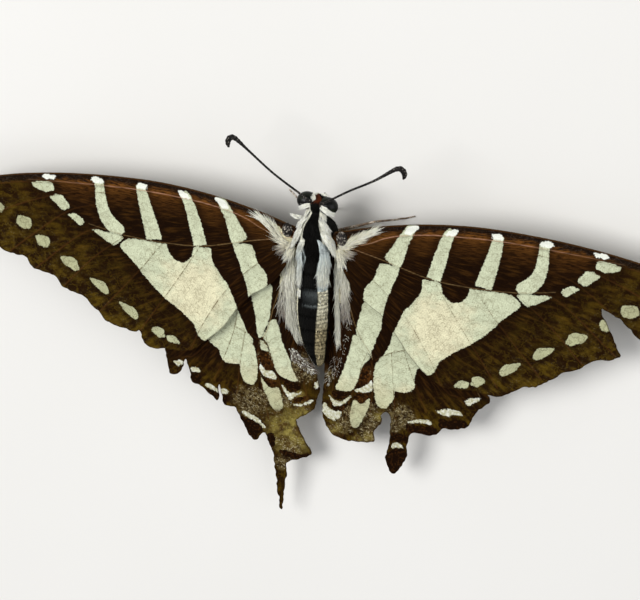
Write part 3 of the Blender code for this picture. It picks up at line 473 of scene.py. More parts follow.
# Eyes: where the middle of each is, its reach, and how far the left is ahead of the right
EYE_AT = (1.16, 3.5, 0.30)
EYE_REACH = (1.22, 1.03, 0.96)
EYE_AHEAD = 0.19

ANTENNA = {
    "left": [
        (-0.55, 4.0, 0.9), (-0.66, 4.2, 1.50), (-1.5, 5.0, 1.95), (-4.5, 7.3, 2.6), (-7.3, 9.7, 2.9),
        (-8.4, 10.6, 2.9), (-8.95, 10.95, 2.85), (-9.4, 10.95, 2.75), (-9.75, 10.6, 2.65),
        (-9.85, 10.1, 2.5), (-9.8, 9.65, 2.4),
    ],
    "right": [
        (0.60, 3.85, 0.9), (0.80, 4.0, 1.50), (1.6, 4.5, 1.95), (4.2, 6.3, 2.6), (7.1, 8.0, 2.9),
        (9.1, 9.4, 2.9), (9.7, 9.75, 2.85), (10.15, 9.75, 2.75), (10.45, 9.4, 2.65), (10.5, 8.95, 2.5),
        (10.35, 8.5, 2.4),
    ],
}
ANTENNA_HALF = [0.18, 0.15, 0.13, 0.125, 0.14, 0.22, 0.28, 0.32, 0.32, 0.27, 0.12]
ANTENNA_RING = 0.42

# Legs: root in the thorax, knee, ankle and tip of the foot, with X counted outwards
HIND_LEG = [(0.85, -2.5, -2.1), (3.3, -5.5, -3.0), (4.5, -10.2, -6.0), (5.4, -14.4, -6.0)]
LEGS = {
    "foreleg_left": [(0.80, 1.3, -2.2), (2.5, 2.1, -3.1), (4.2, 1.1, -6.0), (5.3, 2.1, -6.0)],
    "foreleg_right": [(0.45, 1.4, -2.0), (0.80, 1.7, -4.3), (0.3, 0.4, -6.0), (0.0, 1.3, -6.0)],
    "midleg_left": [(0.95, -1.15, -2.9), (4.5, -1.6, -2.7), (6.9, -2.6, -6.0), (8.8, -3.7, -6.0)],
    "midleg_right": [(0.95, -1.15, -2.9), (5.8, 0.95, -2.7), (8.3, 0.4, -6.0), (9.6, 0.85, -6.0)],
    "hindleg_left": HIND_LEG,
    "hindleg_right": HIND_LEG,
}
HIP_STEP, KNEE_ROUNDED = (0.5, 0.0, -1.0), 0.1
LEG_HALF = [0.34, 0.23, 0.14, 0.13, 0.115, 0.105, 0.10, 0.09, 0.08]
# A foot: the height and the share of the leg where it starts, how high its line lies over the floor as
# a share of its half width, and the half width that it has in the frame
FOOT_BELOW, FOOT_FROM, FOOT_LIFT, FRAME_FOOT = -5.4, 0.62, 0.92, 0.27
PALP = [(0.26, 3.95, -1.00), (0.30, 4.12, -0.78), (0.29, 4.16, -0.50), (0.25, 4.12, -0.24)]
PALP_HALF = [0.17, 0.19, 0.16, 0.07]
COIL_CENTRE, COIL_TURNS = (2.95, -2.30), 2.6
COIL_START, COIL_END, COIL_HALF = 0.80, 0.16, (0.11, 0.05)

# Where the camera stands from the hub, in millimetres, and its axes: right, up and back
CAMERA_AT = (91.58, 128.74, 306.65)
CAMERA_AXES = (
    (0.95569, 0.02153, -0.29359), (-0.13457, 0.91897, -0.37066), (0.26182, 0.39374, 0.88115),
)
# Each lamp's place from the hub and the length of its side, both in metres
LAMPS = {"key": ((-0.28, 0.16, 0.52), 0.34), "fill": ((0.45, 0.10, 0.35), 0.5)}
ROOM_LIGHT = 0.46


def linear(red, green, blue):
    """A colour given as 0 to 255 on screen, as the linear light that Blender works in."""
    screen = np.array([red, green, blue]) / 255
    light = np.where(screen <= 0.04045, screen / 12.92, ((screen + 0.055) / 1.055) ** 2.4)
    return tuple(float(part) for part in light)


# Curves and distances
def smooth(stations, count):
    """Evenly spaced points on a smooth curve through the stations.

    Each span is the cubic that meets both its stations with half the chord across each as its slope.
    """
    knots = np.array(stations, float)
    ends = np.vstack([2 * knots[0] - knots[1], knots, 2 * knots[-1] - knots[-2]])
    p0, p1, p2, p3 = (ends[k:len(ends) - 3 + k, None] for k in range(4))
    t = np.linspace(0, 1, 16, endpoint=False)[None, :, None]
    fine = 0.5 * (2 * p1 + (p2 - p0) * t + (2 * p0 - 5 * p1 + 4 * p2 - p3) * t**2
                  + (3 * p1 - p0 - 3 * p2 + p3) * t**3)
    return evenly(np.vstack([fine.reshape(-1, knots.shape[1]), knots[-1:]]), count)


def unit(vectors, least=1e-9):
    """The same directions with a length of one, or shorter where they had less than the least."""
    return vectors / np.maximum(np.linalg.norm(vectors, axis=-1, keepdims=True), least)


def run_length(line):
    """How far along a line each of its points is."""
    return np.concatenate([[0], np.cumsum(np.linalg.norm(np.diff(line, axis=0), axis=1))])


def evenly(line, count):
    """The same line as count points at equal distances along it."""
    along = run_length(line)
    even = np.linspace(0, along[-1], count)
    return np.column_stack([np.interp(even, along, part) for part in line.T])


def hump(gap, width):
    """A bell over a gap: e to the power of less the square of the gap over the width."""
    return np.exp(-((gap / width) ** 2))


def nearest(points, starts, ends):
    """How far each point is from the nearest of the straight pieces, and the spot there.

    The spot on one piece is its start plus its run times the point's share along it, kept in 0 to 1.
    """
    gap, spot = np.empty(len(points)), np.empty((len(points), 2))
    run = ends - starts
    long = np.maximum((run**2).sum(axis=1), 1e-12)
    for rows in np.array_split(np.arange(len(points)), len(points) * len(starts) // 3_000_000 + 1):
        here = points[rows][:, None]
        share = np.clip(((here - starts) * run).sum(axis=2) / long, 0, 1)
        on = starts + share[..., None] * run
        away = ((here - on) ** 2).sum(axis=2)
        pick = away.argmin(axis=1)
        gap[rows] = np.sqrt(away[np.arange(len(rows)), pick])
        spot[rows] = on[np.arange(len(rows)), pick]
    return gap, spot


def line_gap(points, lines, most=3.0):
    """Distance to the nearest of several smooth lines, told no further than most."""
    paths = [smooth(line, 24) for line in lines]
    starts = np.vstack([path[:-1] for path in paths])
    ends = np.vstack([path[1:] for path in paths])
    return np.minimum(nearest(points, starts, ends)[0], most)


def within(points, ring):
    """Which points lie inside a closed ring: a ray to the right crosses it an odd number of times."""
    inside = np.zeros(len(points), bool)
    x, y = points[:, 0], points[:, 1]
    for (x1, y1), (x2, y2) in zip(ring, np.roll(ring, -1, axis=0)):
        if y1 != y2:
            inside ^= ((y1 > y) != (y2 > y)) & (x < (x2 - x1) * (y - y1) / (y2 - y1) + x1)
    return inside


def depth_inside(points, rings, margin=TOLD_OUTSIDE):
    """Distance to the edge of the nearest of several closed rings, positive inside it."""
    depth = np.full(len(points), -margin)
    for ring in rings:
        low, high = ring.min(axis=0) - margin, ring.max(axis=0) + margin
        near = np.all((points > low) & (points < high), axis=1)
        here = points[near]
        gap = nearest(here, ring, np.roll(ring, -1, axis=0))[0]
        signed = np.where(within(here, ring), gap, -gap)
        depth[near] = np.maximum(depth[near], signed)
    return depth


def band(line, halves):
    """The outline of a bar: its centre line moved to both sides by its half width."""
    path = smooth(np.column_stack([line, halves]), 14)
    ahead = unit(np.gradient(path[:, :2], axis=0))
    beside = np.column_stack([-ahead[:, 1], ahead[:, 0]]) * path[:, 2:]
    return np.vstack([path[:, :2] + beside, (path[:, :2] - beside)[::-1]])


def blob(outline, cut=0.16):
    """A patch's outline with its corners cut off twice, each time by the same share of both sides."""
    ring = np.array(outline, float)
    for _ in range(2):
        ahead = np.roll(ring, -1, axis=0)
        cuts = [ring * (1 - cut) + ahead * cut, ring * cut + ahead * (1 - cut)]
        ring = np.stack(cuts, axis=1).reshape(-1, 2)
    return ring


def blobs(*groups):
    """The outlines of all patches in several groups."""
    return [blob(patch) for group in groups for patch in group]


def value_noise(where, seed):
    """Smooth noise in -1 to 1 along a line: random heights at whole numbers, eased from one to the next."""
    heights = np.random.default_rng(seed).uniform(-1, 1, int(where.max()) + 3)
    low = np.floor(where).astype(int)
    part = where - low
    ease = part * part * (3 - 2 * part)
    return heights[low] * (1 - ease) + heights[low + 1] * ease


def turned(axis, degrees):
    """The matrix that turns round one axis."""
    return np.array(Matrix.Rotation(math.radians(degrees), 3, axis))


def placed(points, side, sweep, below):
    """Wing points (u, v, height) set at the hinge of one side, drooped, tilted and swept."""
    turn = turned("Y", DROOP) @ turned("X", INCIDENCE) @ turned("Z", sweep)
    at = points @ turn.T + [HINGE_SIDE, 0, HINGE_UP - below]
    at[:, 0] *= SIDES[side]
    return at


# Meshes
def piece(name, points, faces, values=None, uv=None, sharp=None):
    """One closed object from points in millimetres and arrays of three- and four-cornered faces."""
    faces = [np.asarray(part) for part in faces if len(part)]
    corners = np.concatenate([part.ravel() for part in faces]).astype(np.int32)
    sizes = np.concatenate([np.full(len(part), part.shape[1]) for part in faces])
    mesh = bpy.data.meshes.new(name)
    mesh.vertices.add(len(points))
    mesh.vertices.foreach_set("co", ((points + HUB) * MM).astype(np.float32).ravel())
    mesh.loops.add(len(corners))
    mesh.loops.foreach_set("vertex_index", corners)
    mesh.polygons.add(len(sizes))
    mesh.polygons.foreach_set("loop_start", (np.cumsum(sizes) - sizes).astype(np.int32))
    mesh.polygons.foreach_set("use_smooth", np.ones(len(sizes), bool))
    mesh.update(calc_edges=True)
    kinds = {1: ("FLOAT", "value"), 3: ("FLOAT_VECTOR", "vector"), 4: ("FLOAT_COLOR", "color")}
    for title, data in (values or {}).items():
        data = np.asarray(data, np.float32)
        kind, part = kinds[data.size // len(points)]
        mesh.attributes.new(title, kind, "POINT").data.foreach_set(part, data.ravel())
    if uv is not None:
        mesh.uv_layers.new(name="OFBake").data.foreach_set("uv", uv.astype(np.float32).ravel())
    if sharp is not None:
        ends = np.empty(len(mesh.edges) * 2, np.int32)
        mesh.edges.foreach_get("vertices", ends)
        ends = np.sort(ends.reshape(-1, 2), axis=1)
        listed = np.sort(sharp, axis=1)
        code = len(points) + 1
        hard = np.isin(ends[:, 0] * code + ends[:, 1], listed[:, 0] * code + listed[:, 1])
        mesh.attributes.new("sharp_edge", "BOOLEAN", "EDGE").data.foreach_set("value", hard)
    made = bpy.data.objects.new(name, mesh)
    bpy.context.scene.collection.objects.link(made)
    return made


def finish_piece(made, material, slot, *nodes):
    """Gives a piece its material, hangs it under the root's empty and hides the parts of the nodes that it
    stands for; the slot is not used.
    """
    made.data.materials.append(material)
    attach(made, "root")
    if nodes:
        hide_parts(*nodes)


def ring_quads(rings, around):
    """Four-cornered faces between rings of points that follow one another."""
    k = np.arange(around)
    n = (k + 1) % around
    first = (np.arange(rings - 1) * around)[:, None]
    quads = np.stack([first + k, first + n, first + around + n, first + around + k], axis=2)
    return quads.reshape(-1, 4)


def closed_rings(grid, start, end):
    """A skin over rings of points, closed at both ends by a fan round one point."""
    rings, around = grid.shape[:2]
    points = np.vstack([grid.reshape(-1, 3), [start], [end]])
    k = np.arange(around)
    n = (k + 1) % around
    last = (rings - 1) * around
    first_fan = np.column_stack([n, k, np.full(around, rings * around)])
    last_fan = np.column_stack([last + k, last + n, np.full(around, rings * around + 1)])
    faces = [ring_quads(rings, around), np.vstack([first_fan, last_fan])]
    corner = points[faces[0]]
    middle = corner.mean(axis=1) - points.mean(axis=0)
    across = np.cross(corner[:, 2] - corner[:, 0], corner[:, 3] - corner[:, 1])
    if (middle * across).sum() < 0:
        faces = [part[:, ::-1] for part in faces]
    return points, faces


def tube(path, halves, around):
    """A round limb carried along a path, as points and faces, and how far along it each point is.

    Ring k is the path's point plus its half width times a circle. The circle's first axis lies along
    the normal of the plane that fits the path best.
    """
    ahead = unit(np.gradient(path, axis=0))
    flat = np.linalg.svd(path - path.mean(axis=0))[2][2]
    across = unit(flat - ahead * (ahead @ flat)[:, None])
    up = np.cross(across, ahead)
    angle = np.linspace(0, 2 * math.pi, around, endpoint=False)[None, :, None]
    ring = np.cos(angle) * across[:, None] + np.sin(angle) * up[:, None]
    grid = path[:, None] + halves[:, None, None] * ring
    start = path[0] - ahead[0] * halves[0] * 0.4
    end = path[-1] + ahead[-1] * halves[-1] * 0.4
    along = run_length(path)
    return *closed_rings(grid, start, end), np.concatenate([np.repeat(along, around), along[[0, -1]]])


def ball(middle, reach, rings, around):
    """An oval ball: its middle plus its reach times (cosine of the rise, its sine round the turn)."""
    rise = np.linspace(0.04, math.pi - 0.04, rings)[:, None]
    turn = np.linspace(0, 2 * math.pi, around, endpoint=False)[None]
    parts = np.cos(rise) + 0 * turn, np.sin(rise) * np.cos(turn), np.sin(rise) * np.sin(turn)
    pole = np.array([reach[0], 0, 0])
    return closed_rings(np.stack(parts, axis=2) * reach + middle, middle + pole, middle - pole)


# Shader nodes
class Wiring:
    """Short calls that add nodes to one tree and link them."""

    def __init__(self, tree):
        self.tree = tree

    def add(self, kind, inputs=(), **settings):
        node = self.tree.nodes.new(kind)
        for name, value in settings.items():
            setattr(node, name, value)
        for socket, value in dict(inputs).items():
            self.feed(node.inputs[socket], value)
        return node

    def feed(self, socket, value):
        if isinstance(value, bpy.types.NodeSocket):
            self.tree.links.new(value, socket)
        elif isinstance(value, (tuple, list)) and len(value) == 3 and socket.type == "RGBA":
            socket.default_value = (*value, 1)
        else:
            socket.default_value = value

    def maths(self, operation, first, second=0.0):
        return self.add("ShaderNodeMath", {0: first, 1: second}, operation=operation).outputs[0]

    def times(self, first, second):
        return self.maths("MULTIPLY", first, second)

    def plus(self, first, second):
        return self.maths("ADD", first, second)

    def minus(self, first, second):
        return self.maths("SUBTRACT", first, second)

    def span(self, value, low, high, to_low=0.0, to_high=1.0):
        """A value between low and high, eased into one between to_low and to_high."""
        given = dict(enumerate((value, low, high, to_low, to_high)))
        return self.add("ShaderNodeMapRange", given, interpolation_type="SMOOTHSTEP").outputs[0]

    def mix(self, amount, first, second):
        """The first colour with an amount of the second over it."""
        return self.add("ShaderNodeMix", {0: amount, 6: first, 7: second}, data_type="RGBA").outputs[2]

    def noise(self, vector, scale, detail=2.0, roughness=0.5, part=0):
        given = {"Vector": vector, "Scale": scale, "Detail": detail, "Roughness": roughness}
        return self.add("ShaderNodeTexNoise", given).outputs[part]

    def stretch(self, vector, scale):
        return self.add("ShaderNodeMapping", {"Vector": vector, "Scale": scale}).outputs[0]

    def attribute(self, name, part="Fac"):
        return self.add("ShaderNodeAttribute", attribute_name=name).outputs[part]

    def object_mm(self):
        """Object coordinates in millimetres."""
        place = self.add("ShaderNodeTexCoord").outputs["Object"]
        return self.stretch(place, (1000, 1000, 1000))


def ragged_edge(wires, given, out):
    """A mask from a signed distance in millimetres, whose edge is broken up by noise."""
    fine = wires.noise(given["Place"], 6.0, 2.0, 0.65)
    broad = wires.noise(given["Place"], 1.9, 1.0, 0.5)
    rough = wires.minus(wires.plus(fine, broad), 1.0)
    moved = wires.plus(given["Distance"], wires.times(rough, given["Wobble"]))
    low = wires.times(given["Soft"], -1.0)
    wires.feed(out["Mask"], wires.span(moved, low, given["Soft"]))


def fine_scales(wires, given, out):
    """The grain of tiny overlapping scales: a tone round 0.5, and a height for the bump."""
    per_mm = wires.maths("DIVIDE", 1.0, given["Size"])
    grain = wires.noise(given["Place"], per_mm, 2.0, 0.7)
    rows = wires.add("ShaderNodeTexWave", {
        "Vector": given["Lie"], "Scale": wires.times(per_mm, 0.16), "Distortion": 3.0, "Detail": 1.0,
        "Detail Scale": 2.0,
    }, wave_type="BANDS", bands_direction="X").outputs[1]
    clouds = wires.noise(given["Place"], 0.8, 3.0, 0.6)
    mixed = wires.plus(wires.times(grain, 0.5), wires.times(clouds, 0.35))
    wires.feed(out["Tone"], wires.plus(mixed, wires.times(rows, 0.04)))
    wires.feed(out["Height"], wires.plus(grain, wires.times(rows, 0.35)))


def flecks(wires, given, out):
    """Scattered single scales: a mask of small spots whose share of the surface is the amount."""
    per_mm = wires.maths("DIVIDE", 1.0, given["Size"])
    cells = wires.add("ShaderNodeTexVoronoi", {"Vector": given["Place"], "Scale": per_mm}, feature="F1")
    pick = wires.add("ShaderNodeSeparateColor", {0: cells.outputs["Color"]}).outputs[0]
    low = wires.minus(1.0, given["Amount"])
    wires.feed(out["Mask"], wires.span(pick, wires.minus(low, 0.12), wires.plus(low, 0.12)))


# Each group's name, what fills it, its inputs as (name, kind) and its outputs, which are all numbers
GROUPS = {
    "Ragged edge": (
        ragged_edge, [("Distance", "Float"), ("Place", "Vector"), ("Wobble", "Float"), ("Soft", "Float")],
        ["Mask"]),
    "Fine scales": (
        fine_scales, [("Place", "Vector"), ("Lie", "Vector"), ("Size", "Float")], ["Tone", "Height"]),
    "Flecks": (flecks, [("Place", "Vector"), ("Size", "Float"), ("Amount", "Float")], ["Mask"]),
}


def group_of(name):
    """The node group of that name, made when it is first asked for."""
    if name not in bpy.data.node_groups:
        fill, takes, gives = GROUPS[name]
        group = bpy.data.node_groups.new(name, "ShaderNodeTree")
        for title, kind in takes:
            group.interface.new_socket(name=title, in_out="INPUT", socket_type="NodeSocket" + kind)
        for title in gives:
            group.interface.new_socket(name=title, in_out="OUTPUT", socket_type="NodeSocketFloat")
        wires = Wiring(group)
        fill(wires, wires.add("NodeGroupInput").outputs, wires.add("NodeGroupOutput").inputs)
    return bpy.data.node_groups[name]


def new_material(name, **constants):
    """A material with its own shader, whose constant sockets are set by name."""
    material = bpy.data.materials.new(name)
    material.use_nodes = True
    wires = Wiring(material.node_tree)
    shader = material.node_tree.nodes["Principled BSDF"]
    for title, value in constants.items():
        shader.inputs[title.replace("_", " ")].default_value = value
    return material, wires, shader


def use(wires, group, **inputs):
    """The outputs of a named group's node in a material, with its inputs fed by name."""
    node = wires.add("ShaderNodeGroup", node_tree=group_of(group))
    for title, value in inputs.items():
        wires.feed(node.inputs[title], value)
    return node.outputs


def bump(wires, shader, height, depth):
    """Turns the surface's normal by a height, which counts in units of depth metres."""
    node = wires.add("ShaderNodeBump", {"Height": height, "Distance": depth, "Strength": 1.0})
    wires.feed(shader.inputs["Normal"], node.outputs[0])


def wing_material(name, tints):
    """Scales on a wing: brown ground, pale windows with ragged edges, veins, dusting and wear."""
    if name in bpy.data.materials:
        return bpy.data.materials[name]
    material, w, shader = new_material(name, Roughness=0.8, Specular_IOR_Level=0.025)
    place, fan = w.attribute("place", "Vector"), w.attribute("fan", "Vector")
    pale, cream, worn, rusty, stem, branch, rim, lead, dusted, bare, under = map(w.attribute, (
        "pale", "cream", "worn", "rusty", "stem", "branch", "rim", "lead", "dusted", "bare", "under"))
    scales = use(w, "Fine scales", Place=place, Lie=fan, Size=0.13)
    tone = scales["Tone"]
    pale_mask, white_mask, black_mask = (
        use(w, "Ragged edge", Distance=depth, Place=place, Wobble=wobble, Soft=EDGE_SOFT)["Mask"]
        for depth, wobble in ((pale, 0.3), (w.attribute("white"), 0.42), (w.attribute("black"), 0.5))
    )
    streak = w.noise(w.stretch(fan, (0.40, 3.6, 1.0)), 1.0, 3.0, 0.6)
    hairline = w.noise(w.stretch(fan, (0.9, 11.0, 1.0)), 1.0, 2.0, 0.6)
    blotch = w.noise(place, 0.55, 3.0, 0.6)
    creases = w.maths("ABSOLUTE", w.minus(w.noise(place, 0.75, 3.0, 0.55), 0.5))
    crease = w.span(creases, 0.0, 0.035, 1.0, 0.0)

    def laid(under, *coats):
        """A colour with coats over it in turn, each a mask and a colour or the name of a tint."""
        under, *overs = (tints[over] if isinstance(over, str) else over for over in (under, *coats[1::2]))
        for mask, over in zip(coats[::2], overs):
            under = w.mix(mask, under, over)
        return under

    # The dark ground: streaked, rusty along the leading veins, worn towards the margin
    mottle = w.plus(w.times(blotch, 0.55), w.times(streak, 0.45))
    worn_tone = laid(
        "worn_dark", w.span(mottle, 0.43, 0.66), "worn_light", w.times(crease, 0.6), "worn_light",
        w.span(hairline, 0.5, 0.7, 0.0, 0.4), "worn_dark")
    powder = use(w, "Flecks", Place=w.stretch(place, (1.0, 1.8, 1.0)), Size=0.11, Amount=0.10)["Mask"]
    band_edge = w.plus(lead, w.times(w.minus(hairline, 0.5), 1.6))
    dark = laid(
        "ground", w.span(streak, 0.46, 0.76), "ground_light",
        w.span(hairline, 0.52, 0.72, 0.0, 0.35), "ground_light",
        w.times(rusty, w.span(hairline, 0.36, 0.62, 0.15, 0.95)), "rust",
        w.times(worn, 0.9), worn_tone,
        w.span(pale, -1.1, -0.1, 0.0, 0.55), "ground",
        w.times(w.span(branch, 0.03, 0.16, 0.55, 0.0), w.span(worn, 0.0, 1.0, 0.4, 1.0)), "vein_dark",
        w.span(band_edge, 0.45, 1.05, 0.9, 0.0), laid("leading", w.times(powder, 0.55), "powder"),
        w.span(lead, 0.03, 0.13, 0.6, 0.0), "rust")

    # The pale windows: mint to cream, dull where worn, with thin broken veins and stray dark scales
    warm = w.plus(cream, w.times(w.minus(blotch, 0.5), 1.1))
    crowd = w.span(w.noise(place, 0.45, 2.0), 0.42, 0.68, 0.02, 0.12)
    specks = use(w, "Flecks", Place=w.stretch(place, (1.0, 1.6, 1.0)), Size=0.13, Amount=crowd)["Mask"]
    dashes = w.span(w.noise(place, 1.3, 2.0), 0.40, 0.56, 0.25, 0.95)
    light = laid(
        "pale", w.span(warm, 0.15, 0.85), "cream", w.times(worn, 0.85), "spot",
        w.times(specks, 0.5), "vein", w.times(crease, 0.28), "vein",
        w.times(w.span(branch, 0.02, 0.09, 1.0, 0.0), dashes), "vein",
        w.span(tone, 0.32, 0.62, 0.22, 0.0), "vein")

    # Dust lies in patches of soft brown with single pale scales; bald places shine through with some
    dusted = w.times(dusted, w.span(w.noise(place, 1.1, 3.0, 0.65), 0.32, 0.62, 0.15, 1.0))
    thin = w.times(w.span(dusted, 0.0, 0.7, 0.0, 0.85), w.span(pale_mask, 0.0, 1.0, 1.0, 0.25))
    soft = laid("worn_dark", w.span(w.noise(place, 2.6, 3.0, 0.65), 0.36, 0.64), "dust_soft")
    jostle = w.stretch(w.noise(place, 5.0, 2.0, 0.5, 1), (0.3, 0.3, 0.3))
    grit = w.add("ShaderNodeVectorMath", {0: place, 1: jostle}).outputs[0]
    dust = use(w, "Flecks", Place=grit, Size=0.11, Amount=w.times(dusted, 0.2))["Mask"]
    bald_tone = laid("bare_dark", w.span(blotch, 0.38, 0.62), "bare")
    bald = w.times(bare, w.span(w.noise(place, 1.8, 3.0, 0.7), 0.32, 0.6, 0.35, 0.95))

    # Black marks with a few red scales, white spots that are shaded where worn, and the stout veins
    ruddy = use(w, "Flecks", Place=place, Size=0.18, Amount=0.22)["Mask"]
    ruddy = w.times(ruddy, w.span(rusty, 0.0, 1.0, 0.15, 0.35))
    reddened = w.times(rusty, w.span(w.noise(place, 2.2, 2.0), 0.38, 0.62, 0.0, 0.22))
    shaded = w.span(w.noise(place, 2.6, 2.0, 0.6), 0.34, 0.62, 0.3, 1.0)
    shaded = w.times(shaded, w.span(worn, 0.02, 0.2, 0.1, 0.95))
    broken = w.span(w.noise(place, 0.9, 2.0), 0.30, 0.55, 0.45, 1.0)
    stem_line = w.times(w.span(stem, 0.02, 0.11, 1.0, 0.0), broken)
    reach = w.add("ShaderNodeSeparateXYZ", {0: fan}).outputs[0]
    stem_line = w.times(stem_line, w.span(reach, 20.0, 38.0, 1.0, 0.3))
    colour = laid(
        dark, pale_mask, light, thin, soft, w.times(dust, w.span(dusted, 0.0, 0.3, 0.0, 0.6)), "dust",
        bald, bald_tone, w.times(w.times(dust, w.span(bare, 0.1, 0.7)), 0.7), "dust",
        black_mask, laid("ground", ruddy, "rust", reddened, "rust"),
        white_mask, laid("white", shaded, "lunule"),
        w.times(stem_line, w.span(white_mask, 0.0, 1.0, 0.7, 0.3)), laid("stem", rusty, "stem_pink"),
        w.span(rim, 0.02, 0.16, 0.6, 0.0), "worn_dark",
        w.span(tone, 0.25, 0.75, 0.28, 0.0), "ground", w.times(under, 0.35), "under")
    w.feed(shader.inputs["Base Color"], colour)
    w.feed(shader.inputs["Roughness"], w.span(tone, 0.3, 0.7, 0.85, 0.65))

    # The bump: scales, veins, streaks, and creases that sink in fresh wing and rise in worn
    ridge = w.plus(w.span(stem, 0.0, 0.25, 0.6, 0.0), w.span(branch, 0.0, 0.18, 0.35, 0.0))
    creased = w.times(crease, w.span(worn, 0.0, 1.0, -0.15, 0.5))
    height = w.plus(w.plus(w.times(scales["Height"], 0.18), ridge), w.times(streak, 0.25))
    height = w.plus(height, creased)
    bump(w, shader, height, 0.09 * MM)
    return material


def coat_material(name, roughness, size, sheen=0.0, deep=0.16):
    """Skin or hair whose colour is painted on the mesh, broken up by fine grain."""
    if name in bpy.data.materials:
        return bpy.data.materials[name]
    material, w, shader = new_material(
        name, Roughness=roughness, Specular_IOR_Level=0.06, Sheen_Weight=sheen, Sheen_Roughness=0.5,
    )
    place = w.object_mm()
    scales = use(w, "Fine scales", Place=place, Lie=place, Size=size)
    shade = w.attribute("shade", "Color")
    colour = w.mix(w.span(scales["Tone"], 0.3, 0.7, deep, 0.0), shade, (0.0, 0.0, 0.0))
    w.feed(shader.inputs["Base Color"], colour)
    w.feed(shader.inputs["Roughness"], w.span(scales["Tone"], 0.3, 0.7, roughness + 0.12, roughness - 0.08))
    bump(w, shader, scales["Height"], 0.05 * MM)
    return material


def eye_material():
    """A compound eye: near black with patches of painted olive sheen and a grid of tiny facets under a clear
    gloss.
    """
    material, w, shader = new_material(
        "Faceted eye", Roughness=0.3, Specular_IOR_Level=0.1, Coat_Weight=0.12, Coat_Roughness=0.05,
    )
    place = w.object_mm()
    cells = w.add("ShaderNodeTexVoronoi", {"Vector": place, "Scale": 9.0, "Randomness": 0.15}, feature="F1")
    patches = w.noise(place, 1.1, 2.0)
    # Painted sheen: olive patches laid over the near-black eye
    colour = w.mix(w.span(patches, 0.45, 0.70), linear(5, 5, 4), linear(26, 30, 16))
    colour = w.mix(w.span(cells.outputs[0], 0.2, 0.7, 0.0, 0.5), colour, (0.0, 0.0, 0.0))
    w.feed(shader.inputs["Base Color"], colour)
    bump(w, shader, w.minus(1.0, cells.outputs[0]), 0.03 * MM)
    return material


def horn_material(name, dark, light, roughness, ring_size, gloss=0.3):
    """A hard limb: horny, with fine rings and small scales, and pale scales where it is powdered."""
    if name in bpy.data.materials:
        return bpy.data.materials[name]
    material, w, shader = new_material(name, Roughness=roughness, Specular_IOR_Level=gloss)
    place = w.object_mm()
    scales = use(w, "Fine scales", Place=place, Lie=place, Size=0.09)
    along = w.attribute("along")
    rings = w.maths("SINE", w.times(along, 2 * math.pi / ring_size))
    colour = w.mix(w.span(scales["Tone"], 0.32, 0.68), dark, light)
    powder = w.plus(0.03, w.times(w.attribute("powder"), 0.8))
    spots = use(w, "Flecks", Place=place, Size=0.12, Amount=powder)["Mask"]
    spots = w.times(spots, w.span(powder, 0.1, 0.8, 0.4, 0.95))
    colour = w.mix(spots, colour, linear(214, 204, 188))
    colour = w.mix(w.span(rings, 0.55, 1.0, 0.0, 0.5), colour, tuple(0.35 * part for part in dark))
    w.feed(shader.inputs["Base Color"], colour)
    w.feed(shader.inputs["Roughness"], w.span(scales["Tone"], 0.3, 0.7, roughness + 0.12, roughness - 0.1))
    bump(w, shader, w.plus(scales["Height"], w.times(rings, 0.3)), 0.03 * MM)
    return material


# Wings
def edge_ring(leading, outer, trailing, fray, seed):
    """A wing's outline as closely spaced points, with its worn outer margin frayed by noise."""
    edges = (
        (smooth(leading, 120), LEADING_WEAR), (np.array([leading[-1], *outer, trailing[0]]), 1.0),
        (smooth(trailing, 90), TRAILING_WEAR),
    )
    parts = []
    for line, wear in edges:
        even = evenly(line, max(4, round(run_length(line)[-1] / EDGE_STEP)))
        parts.append(np.column_stack([even, np.full(len(even), wear)])[:-1])
    rows = np.vstack([*parts, [[*trailing[-1], 0.2]]])
    ring, wear = rows[:, :2], rows[:, 2]
    for _ in range(2):
        ring = 0.5 * ring + 0.25 * (np.roll(ring, 1, axis=0) + np.roll(ring, -1, axis=0))
    ahead = unit(np.roll(ring, -1, axis=0) - np.roll(ring, 1, axis=0))
    beside = np.column_stack([ahead[:, 1], -ahead[:, 0]])
    step = np.arange(len(ring))
    rough = 0.6 * value_noise(step / 6.0, seed) + 0.4 * value_noise(step / 1.7, seed + 1)
    rough = rough * np.minimum(1, np.minimum(step, len(ring) - 1 - step) / 12)
    return ring + beside * (rough * fray * wear)[:, None]


def lattice_in(ring, step):
    """A square lattice cut to a ring: cells whose middle is inside, with the rim moved onto the ring."""
    low, high = ring.min(axis=0) - step, ring.max(axis=0) + step
    us, vs = np.arange(low[0], high[0], step), np.arange(low[1], high[1], step)
    middles = np.stack(np.meshgrid(us[:-1] + step / 2, vs[:-1] + step / 2, indexing="ij"), axis=2)
    keep = np.flatnonzero(within(middles.reshape(-1, 2), ring))
    column, row = np.divmod(keep, len(vs) - 1)
    corner = column * len(vs) + row
    quads = np.column_stack([corner, corner + len(vs), corner + len(vs) + 1, corner + 1])
    used, compact = np.unique(quads, return_inverse=True)
    quads = compact.reshape(-1, 4)
    at = np.column_stack([us[used // len(vs)], vs[used % len(vs)]])
    edges = np.stack([quads, np.roll(quads, -1, axis=1)], axis=2).reshape(-1, 2)
    code = len(at) + 1
    forward, backward = edges[:, 0] * code + edges[:, 1], edges[:, 1] * code + edges[:, 0]
    rim = edges[~np.isin(forward, backward)]
    on_rim = np.unique(rim)
    at[on_rim] = nearest(at[on_rim], ring, np.roll(ring, -1, axis=0))[1]
    return at, quads, rim


